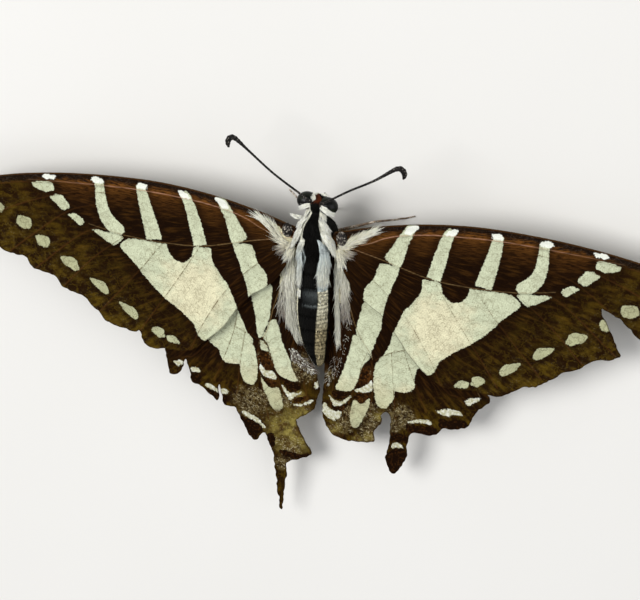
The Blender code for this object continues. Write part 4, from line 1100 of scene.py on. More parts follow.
def wing_values(at, spec, ring):
    """What the wing's material reads at each point: depths into the markings, distances and wear."""
    out, zero = at - FAN_ROOT, np.zeros(len(at))
    turn = np.arctan2(out[:, 1], out[:, 0])
    values = {
        "place": np.column_stack([at, zero]),
        "fan": np.column_stack([np.linalg.norm(out, axis=1), turn * FAN_WIDTH, zero]),
        "stem": line_gap(at, spec["stems"]),
        "branch": line_gap(at, spec["branches"]),
        "lead": line_gap(at, [spec["leading"]]),
        "rim": np.minimum(nearest(at, ring, np.roll(ring, -1, axis=0))[0], 3.0),
        "under": zero,
    }
    for marking in ("pale", "white", "black"):
        values[marking] = depth_inside(at, spec[marking])
    for spot in spec["spots"]:
        values["pale"] = np.minimum(values["pale"], -depth_inside(at, [spot], 3.0))
    return values | spec["wear"](at)


def underside_values(values):
    """The same for the underside, which shows the same markings with its own grain."""
    shift = np.array([0, 0, UNDER_SHIFT])
    return values | {
        "place": values["place"] + shift, "fan": values["fan"] + shift, "under": values["under"] + 1,
    }


def wing_level(at, folded):
    """Height of a sheet's middle: a low bow from root to tip, and an inner fold that falls away."""
    reach = np.clip(at[:, 0] / WING_REACH, 0, 1)
    level = WING_BOW * 4 * reach * (1 - reach)
    if folded:
        level = level - FOLD_RATE * np.clip(FOLD_FROM - at[:, 0], 0, None) ** 2
    return level


def wing_bake(at):
    """Places on the bake's map for points on a wing's upper side: the wing's plane at one scale."""
    return (at - BAKE_CORNER) / BAKE_SHOWN * BAKE_WIDTH + BAKE_MARGIN


def wing(name, side, spec, sizes):
    """A wing as two sheets of one lattice with a wall round the rim.

    A sheet's height is the bow of the wing, less the inner fold, less the sag between the veins, plus
    a low swell towards the worn margin, then half the thickness and the ridges of the veins.
    """
    ring = edge_ring(spec["leading"], spec["outer"], spec["trailing"], sizes.fray / MM, spec["seed"])
    at, quads, rim = lattice_in(ring, sizes.step / MM * (1))
    values = wing_values(at, spec, ring)
    level = wing_level(at, spec["folded"])
    veins = np.minimum(values["stem"], values["branch"])
    inland = np.clip(values["rim"] / RIM_REACH, 0, 1)
    level = level - sizes.sag / MM * (1 - hump(veins, SAG_REACH)) * inland
    swell = np.sin(at[:, 0] * 1.1 + 0.7 * np.sin(at[:, 1] * 0.9)) * np.sin(at[:, 1] * 0.8 + 1.3)
    level = level + sizes.swell / MM * swell * values["worn"]
    ridge = (hump(values["stem"], STEM_RIDGE) + 0.55 * hump(values["branch"], BRANCH_RIDGE)) * inland
    if not spec["folded"]:
        ridge = ridge + hump(values["lead"] - 0.25, LEADING_RIDGE)
    ridge = sizes.vein_rise / MM * ridge
    half = sizes.thickness / MM / 2
    top = np.column_stack([at, level + half + ridge])
    low = np.column_stack([at, level - half - 0.6 * ridge])
    count = len(at)
    walls = np.column_stack([rim[:, 1], rim[:, 0], rim[:, 0] + count, rim[:, 1] + count])
    faces = np.vstack([quads, quads[:, ::-1] + count, walls])
    if SIDES[side] < 0:
        faces = faces[:, ::-1]
    uv = np.vstack([wing_bake(at), wing_bake(at) + BAKE_BESIDE])[faces]
    uv[-len(walls):] = wall_uv(faces[-len(walls):], at)
    below = underside_values(values)
    both = {key: np.concatenate([values[key], below[key]]) for key in values}
    points = placed(np.vstack([top, low]), side, spec["sweep"], spec["below"])
    return piece(name, points, [faces], both, uv, np.vstack([rim, rim + count]))


def wall_uv(walls, at):
    """A narrow strip for each wall beside its own top edge on the bake's map."""
    on_top = walls % len(at)
    run = unit(at[on_top[:, 0]] - at[on_top[:, 1]])
    push = np.column_stack([run[:, 1], -run[:, 0]])[:, None] * WALL_STRIP
    return wing_bake(at)[on_top] + np.where((walls >= len(at))[..., None], push, 0.0)


def fore_wear(at):
    """Forewing: worn towards the outer margin, rusty along the front veins, cream amid the disc."""
    u, v = at.T
    outward = np.clip((u * 0.62 - v * 0.78 - 17.5) / 6.5, 0, 1)
    worn = outward * np.clip((2.4 - v) / 2.0, 0.3, 1)
    radius = np.interp(u, [0, 4, 12, 20, 30, 40], [-0.2, 0.6, 2.2, 2.3, 1.6, 0])
    rusty = hump(v - radius, 0.8) + 0.25 * hump(v - radius + 1.6, 1.0)
    rusty = np.clip(rusty, 0, 1) * np.clip((36 - u) / 12, 0.2, 1)
    cream = hump(u - 12.0, 4.5) * hump(v + 10.0, 5.0) + hump(u, 2.6)
    zero = np.zeros(len(at))
    return {"worn": worn, "rusty": rusty, "cream": cream, "dusted": 0.10 * outward, "bare": zero}


def hind_wear(side):
    """Hindwing: worn and dusted patches round given spots, and a bald frayed place near the tail."""
    def wear(at):
        u, v = at.T
        cream = np.clip((-v - 14.0) / 12.0, 0, 0.5)
        cream += np.clip((-v + 1.0) / 3.0, 0, 1) * (v > -9.5) * (u < 2.4)
        values = {"worn": np.clip((-v - 18.0) / 5.0, 0, 0.75), "cream": cream}
        for layer, spots in (("bare", HIND_BARE), ("dusted", HIND_DUSTED), ("rusty", HIND_RUSTY)):
            values[layer] = np.max([
                np.clip(1.5 - np.hypot(u - spot_u, v - spot_v) / radius, 0, 1)
                for spot_u, spot_v, radius in spots[side]
            ], axis=0)
        return values
    return wear


def fore_spec(side):
    """All that makes the forewing of one side."""
    angle = np.linspace(0, 2 * math.pi, 40, endpoint=False)
    spot = np.array(DISC_SPOT_AT) + np.column_stack([np.cos(angle), np.sin(angle)]) * DISC_SPOT_REACH
    return {
        "leading": FORE_LEADING, "outer": FORE_OUTER[side], "trailing": FORE_TRAILING,
        "stems": FORE_STEMS, "branches": FORE_BRANCHES,
        "pale": [band(*bar) for bar in FORE_BARS] + blobs(FORE_PATCHES, FORE_CREAM, [FORE_DISC]),
        "white": blobs(FORE_WHITES), "black": [], "spots": [spot],
        "wear": fore_wear, "folded": False, "sweep": SWEEP[side], "below": 0.0,
        "seed": 11 if side == "left" else 12,
    }


def hind_spec(side):
    """All that makes the hindwing of one side."""
    return {
        "leading": HIND_LEADING, "outer": HIND_OUTER[side], "trailing": HIND_INNER[side],
        "stems": HIND_STEMS[side], "branches": HIND_BRANCHES[side],
        "pale": blobs(HIND_PATCHES[side], HIND_CREAM[side]), "white": blobs(HIND_WHITES[side]),
        "black": blobs(HIND_DARKS[side]), "spots": [],
        "wear": hind_wear(side), "folded": True, "sweep": 0.0, "below": HINDWING_BELOW,
        "seed": 21 if side == "left" else 22,
    }


# Body and coat
def body_row(y):
    """Half width, top, bottom and shift of the skin at places along the body."""
    rows = smooth(sorted(BODY), 400)
    return tuple(np.interp(y, rows[:, 0], rows[:, k]) for k in (1, 2, 3, 4))


def on_skin(y, angle, above=0.0):
    """Points on the skin and the way out of it: an oval ring across the body, angle 0 at the top.

    The point is (shift + half width * sine, y, middle + half height * cosine).
    """
    def spot(y, angle):
        wide, top, low, shift = body_row(y)
        level = (top + low) / 2 + (top - low) / 2 * np.cos(angle)
        return np.column_stack([shift + wide * np.sin(angle), y, level])
    small = 1e-3
    at = spot(y, angle)
    out = unit(np.cross(spot(y, angle + small) - at, spot(y + small, angle) - at))
    out *= np.sign((out * np.column_stack([np.sin(angle), 0 * y, np.cos(angle)])).sum(axis=1))[:, None]
    return at + out * above, out


def leg_line(joints):
    """Centre line of a leg: from its root over the knee to the ankle, both rounded, and to the toe."""
    root, knee, ankle, toe = np.array(joints)

    def beside(joint, other):
        return joint + KNEE_ROUNDED * (other - joint)

    return np.array([
        root, root + HIP_STEP, beside(knee, root), beside(knee, ankle), (knee + ankle) / 2,
        beside(ankle, knee), beside(ankle, toe), (ankle + toe) / 2, toe,
    ])


def coat_shade(y, angle, tints):
    """The coat's colour at places on the body, with the same bands on skin and hair.

    Black runs down the back between two turns that shift with y. Beside it the thorax is white, then
    grey-blue, and the abdomen dull with cross-lines on the right and dark with one cream line on the left.
    """
    turn = np.degrees(np.arctan2(np.sin(angle), np.cos(angle)))
    rows = np.array(BLACK_BACK, float)
    behind = y < WAIST
    left = np.where(behind, np.interp(y, rows[:, 0], rows[:, 1]), -DORSAL_HALF)
    right = np.where(behind, np.interp(y, rows[:, 0], rows[:, 2]), DORSAL_HALF)
    pale = np.clip(np.maximum(turn - right, left - turn) / 4, 0, 1)[:, None]

    def tint(name, share=1.0):
        return np.array(tints[name])[None] * share

    def laid(under, mask, colour):
        return np.where(mask[:, None], colour, under)

    # The pale side: white, blue-grey from the thorax's rear, then the abdomen's lined flank
    grey = (y < -0.8) & (y > WAIST - 3.7)
    side = laid(np.repeat(tint("fur_white"), len(y), axis=0), grey, tint("fur_blue"))
    wave = y * 2 * math.pi / 0.47 + 0.8 * np.sin(turn * 0.07 + y * 2.3) + 0.7 * np.sin(y * 5.1)
    cross = np.clip(np.sin(wave) * 1.3 + 0.3, -1, 1) * (0.7 + 0.3 * np.sin(y * 3.7 + turn * 0.05))
    mottle = value_noise(y * 5.0 + 90, 5) * value_noise((turn + 200) * 0.2 + 2 * np.sin(y * 3), 6)
    # The flank is cream at the front and dull behind: the cream front is partly pale scales and partly a
    # painted highlight
    cream_and_highlight = np.clip((y + 12.2) / 3.0, 0, 1)[:, None]
    flank = tint("belly") * (1 - cream_and_highlight) + tint("fur_cream") * cream_and_highlight
    flank = flank * ((0.66 + 0.40 * cross) * (0.9 + 0.9 * mottle))[:, None]
    side = laid(side, behind & ~grey, flank)
    cream = behind & ~grey & (turn < 0) & (np.abs(turn - left + 8) < 6) & (y > -13.5)
    side = laid(side, cream, tint("fur_cream"))
    shade = tint("fur_dark") * (1 - pale) + side * pale

    # Over that: dark lines on the abdomen, a painted sheen of blue-grey on its black back, the thorax's dark
    # sides and the face
    dark_line = behind & ((np.abs(turn - 100) < 25) | (np.abs(turn - left + 22) < 8))
    shade = laid(shade, dark_line, tint("fur_dark", 1.5))
    # Painted sheen: blue-grey laid thinly over the black back of the abdomen, brightest in one thin line and
    # fading to the left
    painted_sheen = 0.04 + 0.14 * hump(y + 8.7, 0.12) + 0.06 * hump(y + 7.3, 0.4)
    painted_sheen = painted_sheen * np.clip((turn + 40) / 50, 0.2, 1)
    painted_sheen_place = (y < -6.6) & (y > -9.0) & (turn > -28) & (turn < right)
    shade = laid(shade, painted_sheen_place, tint("fur_blue", painted_sheen[:, None]))
    dark_side = (y < 2.7) & (y > WAIST + 0.4) & (np.abs(turn) > 64) & (np.abs(turn) < 128)
    shade = laid(shade, dark_side, tint("fur_dark", 2))
    shade = laid(shade, (y > 3.9) & (np.abs(turn) < 48), tint("rust", [0.6, 0.35, 0.6]))
    shade = laid(shade, (y >= 4.05) & (turn > 48) & (turn < 120), tint("fur_dark"))
    return np.column_stack([shade, np.ones(len(y))])


def tufts(name, roots, outs, ways, bends, lengths, widths, shades, bake, rng, tip_light, uneven):
    """Many tapered three-sided hairs as one mesh, each with a flat side that faces outs.

    Point s of a hair is its root plus length times (s * way + s squared * bend), and its half width
    falls from the root's to nothing as one less s to the power 0.7.
    """
    count = len(roots)
    share = np.array([0.0, 0.3, 0.62, 1.0])
    line = roots[:, None] + lengths[:, None, None] * (
        share[None, :, None] * ways[:, None] + (share**2)[None, :, None] * bends[:, None]
    )
    ahead = unit(ways[:, None] + 2 * share[None, :, None] * bends[:, None])
    up = unit(outs[:, None] - ahead * (ahead * outs[:, None]).sum(axis=2, keepdims=True), 1e-6)
    across = np.cross(up, ahead)
    roll = rng.normal(0, 0.4, (count, 1, 1))
    cos, sin = np.cos(roll), np.sin(roll)
    across, up = cos * across + sin * up, 0.5 * (cos * up - sin * across)
    angle = (math.pi / 6 + np.linspace(0, 2 * math.pi, 3, endpoint=False))[:, None]
    taper = (1 - share[:3]) ** 0.7 * np.array([0.75, 1.0, 0.95])
    ring = np.cos(angle) * across[:, :3, None] + np.sin(angle) * up[:, :3, None]
    body = line[:, :3, None] + ring * (taper[None, :] * widths[:, None] / 2)[..., None, None]
    points = np.concatenate([body.reshape(count, 9, 3), line[:, 3:]], axis=1)
    first = (np.arange(count) * 10)[:, None, None]
    ends = np.array([[6, 7, 9], [7, 8, 9], [8, 6, 9], [2, 1, 0]])
    quads, tris = (first + ring_quads(3, 3)[None]).reshape(-1, 4), (first + ends[None]).reshape(-1, 3)
    along = np.concatenate([np.repeat(share[:3], 3), [1.0]])
    patch = np.column_stack([np.tile([0.1, 0.5, 0.9], 3), np.repeat([0.1, 0.4, 0.7], 3)])
    patch = np.vstack([patch, [[0.5, 1.0]]]) * HAIR_PATCH
    uv_points = (bake[:, None] + patch[None]).reshape(-1, 2)
    uv = np.vstack([uv_points[quads.ravel()], uv_points[tris.ravel()]])
    lift = 1 + tip_light * (along[None, :, None] - 0.5) + rng.normal(0, uneven, (count, 1, 1))
    colours = np.clip(shades[:, None, :3] * lift, 0, 1)
    colours = np.concatenate([colours, np.ones((count, 10, 1))], axis=2)
    return piece(name, points.reshape(-1, 3), [quads, tris], {"shade": colours.reshape(-1, 4)}, uv)


def hair_band(name, bands, surface, tints, thick, rng):
    """Hairs that lie along several bands, each a line of places on a surface, as one mesh.

    A root is the line's point plus its half width times a share from -1 to 1 across the line, raised by
    up to the band's rise where the band is fullest. Its way is the line's own, splayed by that share.
    """
    parts = []
    for line, halves, count, length, width, splay, rise, front, back in bands:
        rows = smooth(np.column_stack([line, halves]), 60)
        slopes = np.gradient(rows, axis=0)
        count = round(count * thick)
        share = rng.uniform(0, 1, count) * 0.92
        pick, steps = share * (len(rows) - 1), np.arange(len(rows))
        flat, ahead = (
            np.column_stack([np.interp(pick, steps, part) for part in table.T]) for table in (rows, slopes)
        )
        middle, out, bake = surface(flat[:, :-1])
        way = unit(surface(flat[:, :-1] + ahead[:, :-1])[0] - middle)
        across = unit(np.cross(way, out))
        aside = rng.uniform(-1, 1, count)
        full = (1 - aside**2) * np.sin(math.pi * np.clip(share + 0.12, 0, 1)) * rng.uniform(0, 1, count)
        root = middle + across * (aside * flat[:, -1])[:, None] + out * (rise * full)[:, None]
        way = way + across * (splay * aside)[:, None] + out * 0.22
        way = way + rng.normal(0, 0.06 + 0.08 * splay, root.shape)
        blend = np.clip(share + rng.normal(0, 0.12, count), 0, 1)[:, None]
        shade = np.array(tints[front])[None] * (1 - blend) + np.array(tints[back])[None] * blend
        bend = -out * 0.26 + rng.normal(0, 0.05, root.shape)
        lengths = length * rng.uniform(0.6, 1.15, count)
        widths = width * rng.uniform(0.6, 1.25, count)
        parts.append((root, out, way, bend, lengths, widths, shade, bake))
    return tufts(name, *(np.concatenate(part) for part in zip(*parts)), rng, 0.10, 0.11)


def spread(rng, low, high, count):
    """Jittered places that cover a stretch of the skin evenly: along it and round it."""
    long = abs(high - low)
    rows = max(2, int(math.sqrt(count * long / GIRTH)))
    turns = max(3, int(count / rows))
    y = np.linspace(low, high, rows)[:, None] + rng.uniform(-0.5, 0.5, (rows, turns)) * long / rows
    angle = np.linspace(-math.pi, math.pi, turns, endpoint=False)[None]
    angle = angle + rng.uniform(0, 1, (rows, turns)) * 2 * math.pi / turns
    return y.ravel(), angle.ravel()


def skin_bake(y, angle):
    """A place on the unwrapped skin: across by its turn round the body, up by its place along it."""
    turn = np.mod(angle / (2 * math.pi) + 0.5, 1.0)
    return np.column_stack([0.02 + 0.95 * turn, 0.02 + 0.95 * (y - TAIL - 2) / 26])


def body_surface(at):
    """Points over the body, the way out of it there, and their places on the unwrapped skin."""
    wide, top, low, shift = body_row(np.clip(at[:, 1], TAIL + 0.1, BODY[0][0] - 0.05))
    high = (top - low) / 2
    angle = np.arctan2((at[:, 0] - shift) / wide, (at[:, 2] - (top + low) / 2) / high)
    out = unit(np.column_stack([np.sin(angle) / wide, 0 * angle, np.cos(angle) / high]))
    return at, out, skin_bake(at[:, 1], angle)


def wing_surface(side, spec):
    """The same for points (u, v) over the upper side of a wing."""
    def surface(at):
        level = wing_level(at, spec["folded"]) + 0.10
        low = placed(np.column_stack([at, level]), side, spec["sweep"], spec["below"])
        high = placed(np.column_stack([at, level + 1]), side, spec["sweep"], spec["below"])
        return low, high - low, wing_bake(at)
    return surface


# Sizes and colours
def length_property(title, text, default, least, most):
    return FloatProperty(
        name=title, description=text, default=default, min=least, max=most, unit="LENGTH", precision=5)


def power_property(title, text, default):
    return FloatProperty(name=title, description=text, default=default, min=0.0, max=100.0, unit="POWER")


def count_property(title, text, default):
    return IntProperty(name=title, description=text, default=default, min=100, max=8000)


def colour_property(title, text, screen):
    return FloatVectorProperty(
        name=title, description=text, default=linear(*screen), min=0.0, max=1.0, size=3, subtype="COLOR")


class WingSizes(bpy.types.PropertyGroup):
    """Sizes of the wing sheets."""

    thickness: length_property("Thickness", "How thick the wing's sheet is", 0.14 * MM, 0.02 * MM, 0.5 * MM)
    vein_rise: length_property(
        "Vein rise", "How far the stout veins stand above the sheet", 0.08 * MM, 0.0, 0.3 * MM)
    sag: length_property("Sag", "How far the sheet sinks between the veins", 0.10 * MM, 0.0, 0.4 * MM)
    swell: length_property("Swell", "How far the worn margin waves up and down", 0.12 * MM, 0.0, 0.5 * MM)
    fray: length_property("Fray", "How deep the worn margin is nibbled", 0.22 * MM, 0.0, MM)
    step: length_property("Mesh step", "Spacing of the wing's lattice", 0.13 * MM, 0.1 * MM, MM)


class Tints(bpy.types.PropertyGroup):
    """Colours of the scales and hairs."""

    ground: colour_property("Ground", "Darkest scales of the wings", (20, 8, 2))
    ground_light: colour_property("Ground streaks", "Lighter streaks in the ground", (62, 38, 10))
    rust: colour_property("Rust", "Red-brown scales along the leading veins", (112, 70, 28))
    leading: colour_property("Leading edge", "Black band behind the leading edge", (18, 11, 7))
    worn_dark: colour_property("Worn, dark", "Worn outer scales, dark", (32, 17, 3))
    worn_light: colour_property("Worn, light", "Worn outer scales, light", (90, 70, 14))
    vein_dark: colour_property("Vein on brown", "Fine veins on the brown ground", (78, 48, 18))
    vein: colour_property("Vein on pale", "Fine veins and stray scales on the pale windows", (98, 82, 50))
    stem: colour_property("Stem", "Stout veins", (122, 98, 62))
    stem_pink: colour_property("Front stem", "Pinkish stout vein near the leading edge", (176, 132, 106))
    pale: colour_property("Pale window", "Mint-white windows", (213, 219, 186))
    cream: colour_property("Cream", "Warmer middle of the windows", (237, 231, 194))
    spot: colour_property("Dull spot", "Worn spots near the margin", (178, 178, 136))
    white: colour_property("White", "White spots", (240, 242, 230))
    lunule: colour_property("Lunule", "Shaded parts of the white spots", (178, 174, 138))
    powder: colour_property("Powder", "Grey scales of the black leading band", (88, 78, 70))
    dust_soft: colour_property("Dusted ground", "Brown ground under thin pale dust", (108, 94, 60))
    dust: colour_property("Dust", "Single pale scales", (184, 172, 136))
    bare: colour_property("Bald", "Bald olive skin of the tail", (144, 130, 66))
    bare_dark: colour_property("Bald, dark", "Darker bald skin", (74, 54, 22))
    under: colour_property("Underside", "Tint that the underside takes", (150, 132, 100))
    fur_dark: colour_property("Dark fur", "Black fur of the back", (9, 8, 6))
    fur_white: colour_property("White fur", "White tufts beside the back", (255, 253, 234))
    fur_pale: colour_property("Pale hair", "Greyish white hair", (250, 247, 226))
    fur_cream: colour_property("Cream hair", "Cream hair at the wing roots", (240, 234, 204))
    # Also laid thinly on the abdomen's black back as a painted sheen
    fur_blue: colour_property("Blue-grey hair", "Blue-grey hair behind the thorax", (200, 211, 208))
    fur_grey: colour_property("Grey hair", "Grey hair beside the abdomen", (216, 214, 194))
    fur_brown: colour_property("Brown hair", "Brownish hair that thins out on the wing", (108, 90, 72))
    belly: colour_property("Side scales", "Dull pale scales of the abdomen", (170, 156, 120))


class CoatSizes(bpy.types.PropertyGroup):
    """Numbers of hairs in each part of the coat."""

    short_fur: count_property("Short fur", "Tufts of short fur on head and thorax", 5200)
    abdomen_fur: count_property("Abdomen scales", "Flat tufts on the abdomen", 4800)
    long_hair: FloatProperty(
        name="Long hair", description="Share of the hairs in locks and wing roots", default=1.0, min=0.1,
        max=1.5, subtype="FACTOR")


class StageSizes(bpy.types.PropertyGroup):
    """The floor, the lamps and the camera."""

    floor_side: length_property("Floor side", "Length of the floor's sides", 4.0, 0.2, 20.0)
    lens: FloatProperty(
        name="Lens", description="Focal length for a sensor 36 mm wide", default=173.3, min=20.0, max=400.0)
    key: power_property("Key lamp", "Power of the main lamp", 3.7)
    fill: power_property("Fill lamp", "Power of the lamp on the other side", 1.7)


def tints_of(context):
    """The colours as a plain dictionary."""
    held = context.scene.butterfly_tints
    return {name: tuple(getattr(held, name)) for name in Tints.__annotations__}


def both_wings(context, kind, spec_of):
    """Builds the left and right wing of one kind."""
    material = wing_material("Wing scales", tints_of(context))
    for side in SIDES:
        node = f"{kind}_{side}"
        made = wing(f"{node}_scaled", side, spec_of(side), context.scene.butterfly_wings)
        finish_piece(made, material, "wing", node)


def leg(name, sign, material):
    """One leg: a tube along its centre line, whose foot is lifted onto the floor."""
    rows = smooth(np.column_stack([leg_line(LEGS[name]), LEG_HALF]), 180)
    path, halves = rows[:, :3] * [sign, 1, 1], rows[:, 3]
    lifted = np.maximum(halves * FOOT_LIFT - HINGE_HEIGHT, path[:, 2] - (FRAME_FOOT - halves))
    path[:, 2] = np.where(path[:, 2] < FOOT_BELOW, lifted, path[:, 2])
    points, faces, length = tube(path, halves, 16)
    points[:, 2] = np.maximum(points[:, 2], -HINGE_HEIGHT)
    foot = np.clip((length / length[-1] - FOOT_FROM) / 0.1, 0, 1)
    powder = foot * 0.9 if name.startswith("foreleg") else 0.35 + 0.2 * np.sin(length * 2.2)
    made = piece(f"{name}_scaled", points, faces, {"along": length, "powder": powder})
    finish_piece(made, material, "leg", name)


def palp(side, sign, white):
    """One palp: a furred tube beside the face, black with a white underside."""
    rows = smooth(np.column_stack([PALP, PALP_HALF]), 60)
    points, faces, _ = tube(rows[:, :3] * [sign, 1, 1], rows[:, 3], 20)
    low = np.clip(-0.9 - points[:, 2:] * 1.8, 0.02, 1)
    shade = np.hstack([low * white, np.ones((len(points), 1))])
    made = piece(f"palp_{side}_scaled", points, faces, {"shade": shade})
    finish_piece(made, coat_material("Fur", *FUR_LOOK), "palp", f"palp_{side}")


def tongue():
    """The coiled tongue: a tube along a flat spiral whose radius falls evenly with its turn."""
    turn = np.linspace(0, 2 * math.pi * COIL_TURNS, 300)
    size = np.linspace(COIL_START, COIL_END, len(turn))
    ahead, up = COIL_CENTRE
    coil = np.column_stack([0 * turn, ahead + size * np.sin(turn), up + size * np.cos(turn)])
    points, faces, length = tube(coil, np.linspace(*COIL_HALF, len(turn)), 14)
    made = piece("proboscis_coiled", points, faces, {"along": length})
    horn = horn_material("Tongue", linear(40, 26, 16), linear(96, 66, 40), 0.4, 0.2)
    finish_piece(made, horn, "antenna", "proboscis")


def lamp(scene, name, power):
    """A square lamp at its place, turned to face the butterfly's hub."""
    spot, side = LAMPS[name]
    light = bpy.data.lights.new(name, "AREA")
    light.energy, light.size = power, side
    away = unit(np.array(spot))
    right = unit(np.cross([0, 0, 1.0], away))
    hold(scene, name, light, np.array(spot), (right, np.cross(away, right), away))


def hold(scene, name, held, place, axes):
    """Puts a lamp or camera at a place from the hub, in metres, with its right, up and back axes."""
    holder = bpy.data.objects.new(name, held)
    turn = Matrix(np.column_stack(axes).tolist()).to_4x4()
    holder.matrix_world = Matrix.Translation(HUB * MM + place) @ turn
    scene.collection.objects.link(holder)
    return holder


# Operators
class BUTTERFLY_OT_forewings(bpy.types.Operator):
    """Builds both forewings"""

    bl_idname = "butterfly.forewings"
    bl_label = "Forewings"

    def execute(self, context):
        both_wings(context, "forewing", fore_spec)
        return {"FINISHED"}


class BUTTERFLY_OT_hindwings(bpy.types.Operator):
    """Builds both hindwings"""

    bl_idname = "butterfly.hindwings"
    bl_label = "Hindwings"

    def execute(self, context):
        both_wings(context, "hindwing", hind_spec)
        return {"FINISHED"}


class BUTTERFLY_OT_skin(bpy.types.Operator):
    """Builds the skin of the head, thorax and abdomen as one piece"""

    bl_idname = "butterfly.skin"
    bl_label = "Body skin"

    def execute(self, context):
        rings, around = 360, 120
        y = np.linspace(BODY[0][0] - 0.01, TAIL + 0.01, rings)
        angle = np.linspace(0, 2 * math.pi, around, endpoint=False)
        along, turn = (part.ravel() for part in np.meshgrid(y, angle, indexing="ij"))
        at, out = on_skin(along, turn)
        belt = 0.5 + 0.5 * np.cos((along - WAIST) * 2 * math.pi / RING_SPACING)
        at -= out * (RING_DEPTH * belt**6 * (along < WAIST - 0.5))[:, None]
        start = at[:around].mean(axis=0) + [0, 0.06, 0]
        end = at[-around:].mean(axis=0) - [0, 0.06, 0]
        points, faces = closed_rings(at.reshape(rings, around, 3), start, end)
        shade = coat_shade(along, turn, tints_of(context)) * [0.9, 0.9, 0.9, 1]
        shade = np.vstack([shade, shade[:1], shade[-1:]])
        made = piece("body_skin", points, faces, {"shade": shade})
        finish_piece(made, coat_material("Body scales", 0.5, 0.12), "body", "head", "thorax", "abdomen")
        return {"FINISHED"}


class BUTTERFLY_OT_coat(bpy.types.Operator):
    """Builds the fur and the white tufts"""

    bl_idname = "butterfly.coat"
    bl_label = "Coat"

    def execute(self, context):
        tints = tints_of(context)
        sizes = context.scene.butterfly_coat
        fur = coat_material("Fur", *FUR_LOOK)
        rng = np.random.default_rng(7)
        back = np.array([0.0, -1.0, 0.0])
        head, thorax = sizes.short_fur // 4, 3 * sizes.short_fur // 4
        # Name, front and rear end, number of tufts, their length, width and lift, and their unevenness
        stretches = [
            ("fur_head", BODY[0][0], NECK, head, 0.35, 0.05, 0.35, 0.12),
            ("fur_thorax", NECK, WAIST, thorax, 0.50, 0.08, 0.22, 0.12),
            ("fur_abdomen", WAIST, TAIL + 0.3, sizes.abdomen_fur, 0.34, 0.09, 0.08, 0.45),
        ]
        for name, front, rear, count, length, width, lift, uneven in stretches:
            y, angle = spread(rng, front, rear, count)
            y = np.clip(y, TAIL + 0.1, BODY[0][0] - 0.02)
            roots, out = on_skin(y, angle, -0.02)
            lie = unit(back - out * (out @ back)[:, None], 0.2)
            ways = lie + out * lift + rng.normal(0, 0.12, roots.shape)
            bends = -out * lift * 0.7 + rng.normal(0, 0.05, roots.shape)
            lengths = length * rng.uniform(0.65, 1.25, len(y))
            widths = width * rng.uniform(0.7, 1.3, len(y))
            shades, bake = coat_shade(y, angle, tints), skin_bake(y, angle)
            made = tufts(name, roots, out, ways, bends, lengths, widths, shades, bake, rng, 0.2, uneven)
            finish_piece(made, fur, "body")
        return {"FINISHED"}


class BUTTERFLY_OT_locks(bpy.types.Operator):
    """Builds the white locks, the long hair over the wing roots and the knobs below it"""

    bl_idname = "butterfly.locks"
    bl_label = "Locks and wing-root hair"

    def execute(self, context):
        tints, thick = tints_of(context), context.scene.butterfly_coat.long_hair
        hair = coat_material("Long hair", 0.6, 0.2, 0.7, 0.04)
        rng = np.random.default_rng(19)
        made = hair_band("hair_body", BODY_LOCKS, body_surface, tints, thick, rng)
        finish_piece(made, hair, "body")
        knob = horn_material("Wing knob", linear(12, 8, 6), linear(36, 27, 22), 0.5, 0.5, 0.2)
        for side in SIDES:
            for kind, spec_of, bands in (
                ("forewing", fore_spec, FORE_HAIR), ("hindwing", hind_spec, HIND_HAIR),
            ):
                surface = wing_surface(side, spec_of(side))
                made = hair_band(f"hair_{kind}_{side}", bands[side], surface, tints, thick, rng)
                finish_piece(made, hair, "body")
            points, faces = ball(KNOB_AT[side], KNOB_REACH, 24, 36)
            made = piece(f"wing_knob_{side}", points, faces, {"powder": np.full(len(points), 0.25)})
            finish_piece(made, knob, "body")
        return {"FINISHED"}


class BUTTERFLY_OT_eyes(bpy.types.Operator):
    """Builds the two eyes"""

    bl_idname = "butterfly.eyes"
    bl_label = "Eyes"

    def execute(self, context):
        material = eye_material()
        for side, sign in SIDES.items():
            middle = (np.array(EYE_AT) - [0, sign * EYE_AHEAD, 0]) * [sign, 1, 1]
            points, faces = ball(middle, EYE_REACH, 40, 64)
            finish_piece(piece(f"eye_{side}_faceted", points, faces), material, "eye", f"eye_{side}")
        return {"FINISHED"}


class BUTTERFLY_OT_antennae(bpy.types.Operator):
    """Builds the two ringed, clubbed antennae"""

    bl_idname = "butterfly.antennae"
    bl_label = "Antennae"

    def execute(self, context):
        material = horn_material("Antenna", linear(9, 7, 6), linear(22, 16, 13), 0.45, ANTENNA_RING, 0.15)
        for side in SIDES:
            rows = smooth(np.column_stack([ANTENNA[side], ANTENNA_HALF]), 260)
            path = rows[:, :3]
            rings = np.sin(run_length(path) * 2 * math.pi / ANTENNA_RING)
            points, faces, length = tube(path, np.maximum(rows[:, 3], 0.08) * (1 + 0.07 * rings), 20)
            made = piece(f"antenna_{side}_ringed", points, faces, {"along": length})
            finish_piece(made, material, "antenna", f"antenna_{side}")
        return {"FINISHED"}


class BUTTERFLY_OT_legs(bpy.types.Operator):
    """Builds the six legs, the palps and the coiled tongue"""

    bl_idname = "butterfly.legs"
    bl_label = "Legs and mouthparts"

    def execute(self, context):
        material = horn_material("Leg", linear(70, 50, 34), linear(150, 122, 88), 0.5, 0.9)
        white = np.array(context.scene.butterfly_tints.fur_white)
        for side, sign in SIDES.items():
            for pair in ("foreleg", "midleg", "hindleg"):
                leg(f"{pair}_{side}", sign, material)
            palp(side, sign, white)
        tongue()
        return {"FINISHED"}


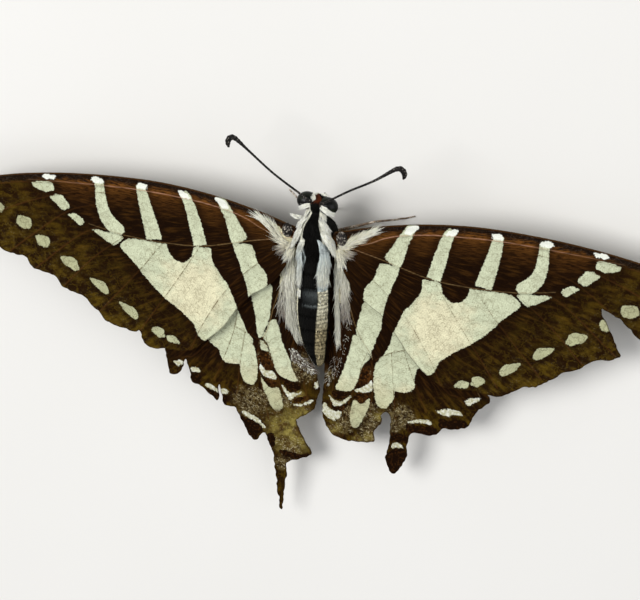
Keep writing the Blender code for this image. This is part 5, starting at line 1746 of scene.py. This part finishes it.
class BUTTERFLY_OT_stage(bpy.types.Operator):
    """Sets the pale floor, the soft lamps and the camera"""

    bl_idname = "butterfly.stage"
    bl_label = "Stage"

    def execute(self, context):
        scene, sizes = context.scene, context.scene.butterfly_stage
        half = sizes.floor_side / 2
        mesh = bpy.data.meshes.new("floor")
        corners = [(-half, -half, 0), (half, -half, 0), (half, half, 0), (-half, half, 0)]
        mesh.from_pydata(corners, [], [(0, 1, 2, 3)])
        floor = bpy.data.objects.new("floor", mesh)
        scene.collection.objects.link(floor)
        material, w, shader = new_material("Pale floor", Roughness=0.85, Specular_IOR_Level=0.2)
        cloud = w.noise(w.object_mm(), 0.02, 2.0)
        w.feed(shader.inputs["Base Color"], w.mix(cloud, linear(212, 210, 205), linear(218, 216, 212)))
        mesh.materials.append(material)
        world = bpy.data.worlds.new("Studio")
        world.use_nodes = True
        sky = world.node_tree.nodes["Background"].inputs
        sky[0].default_value, sky[1].default_value = (*linear(222, 226, 232), 1), ROOM_LIGHT
        scene.world = world
        scene.view_settings.view_transform = "Standard"
        for name in LAMPS:
            lamp(scene, name, getattr(sizes, name))
        camera = bpy.data.cameras.new("camera")
        camera.lens, camera.sensor_width = sizes.lens, 36.0
        camera.clip_start, camera.clip_end = 0.01, 50.0
        scene.camera = hold(scene, "camera", camera, np.array(CAMERA_AT) * MM, CAMERA_AXES)
        return {"FINISHED"}


OPERATORS = (
    BUTTERFLY_OT_forewings, BUTTERFLY_OT_hindwings, BUTTERFLY_OT_skin, BUTTERFLY_OT_coat,
    BUTTERFLY_OT_locks, BUTTERFLY_OT_eyes, BUTTERFLY_OT_antennae, BUTTERFLY_OT_legs, BUTTERFLY_OT_stage,
)


class BUTTERFLY_PT_panel(bpy.types.Panel):
    """Lists the butterfly's pieces in the sidebar"""

    bl_label = "Butterfly"
    bl_space_type = "VIEW_3D"
    bl_region_type = "UI"
    bl_category = "Butterfly"

    def draw(self, context):
        for operator in OPERATORS:
            self.layout.operator(operator.bl_idname)
        for held in ("butterfly_wings", "butterfly_tints", "butterfly_coat", "butterfly_stage"):
            box = self.layout.box()
            group = getattr(context.scene, held)
            for name in type(group).__annotations__:
                box.prop(group, name)


SETTINGS = {
    "butterfly_wings": WingSizes, "butterfly_tints": Tints, "butterfly_coat": CoatSizes,
    "butterfly_stage": StageSizes,
}


def register():
    for group in SETTINGS.values():
        bpy.utils.register_class(group)
    for name, group in SETTINGS.items():
        setattr(bpy.types.Scene, name, PointerProperty(type=group))
    for operator in OPERATORS:
        bpy.utils.register_class(operator)
    bpy.utils.register_class(BUTTERFLY_PT_panel)


def unregister():
    bpy.utils.unregister_class(BUTTERFLY_PT_panel)
    for operator in reversed(OPERATORS):
        bpy.utils.unregister_class(operator)
    for name, group in SETTINGS.items():
        delattr(bpy.types.Scene, name)
        bpy.utils.unregister_class(group)


def main():
    register()
    for operator in OPERATORS:
        name = operator.bl_idname.split(".")[1]
        getattr(bpy.ops.butterfly, name)()


if __name__ == "__main__":
    main()
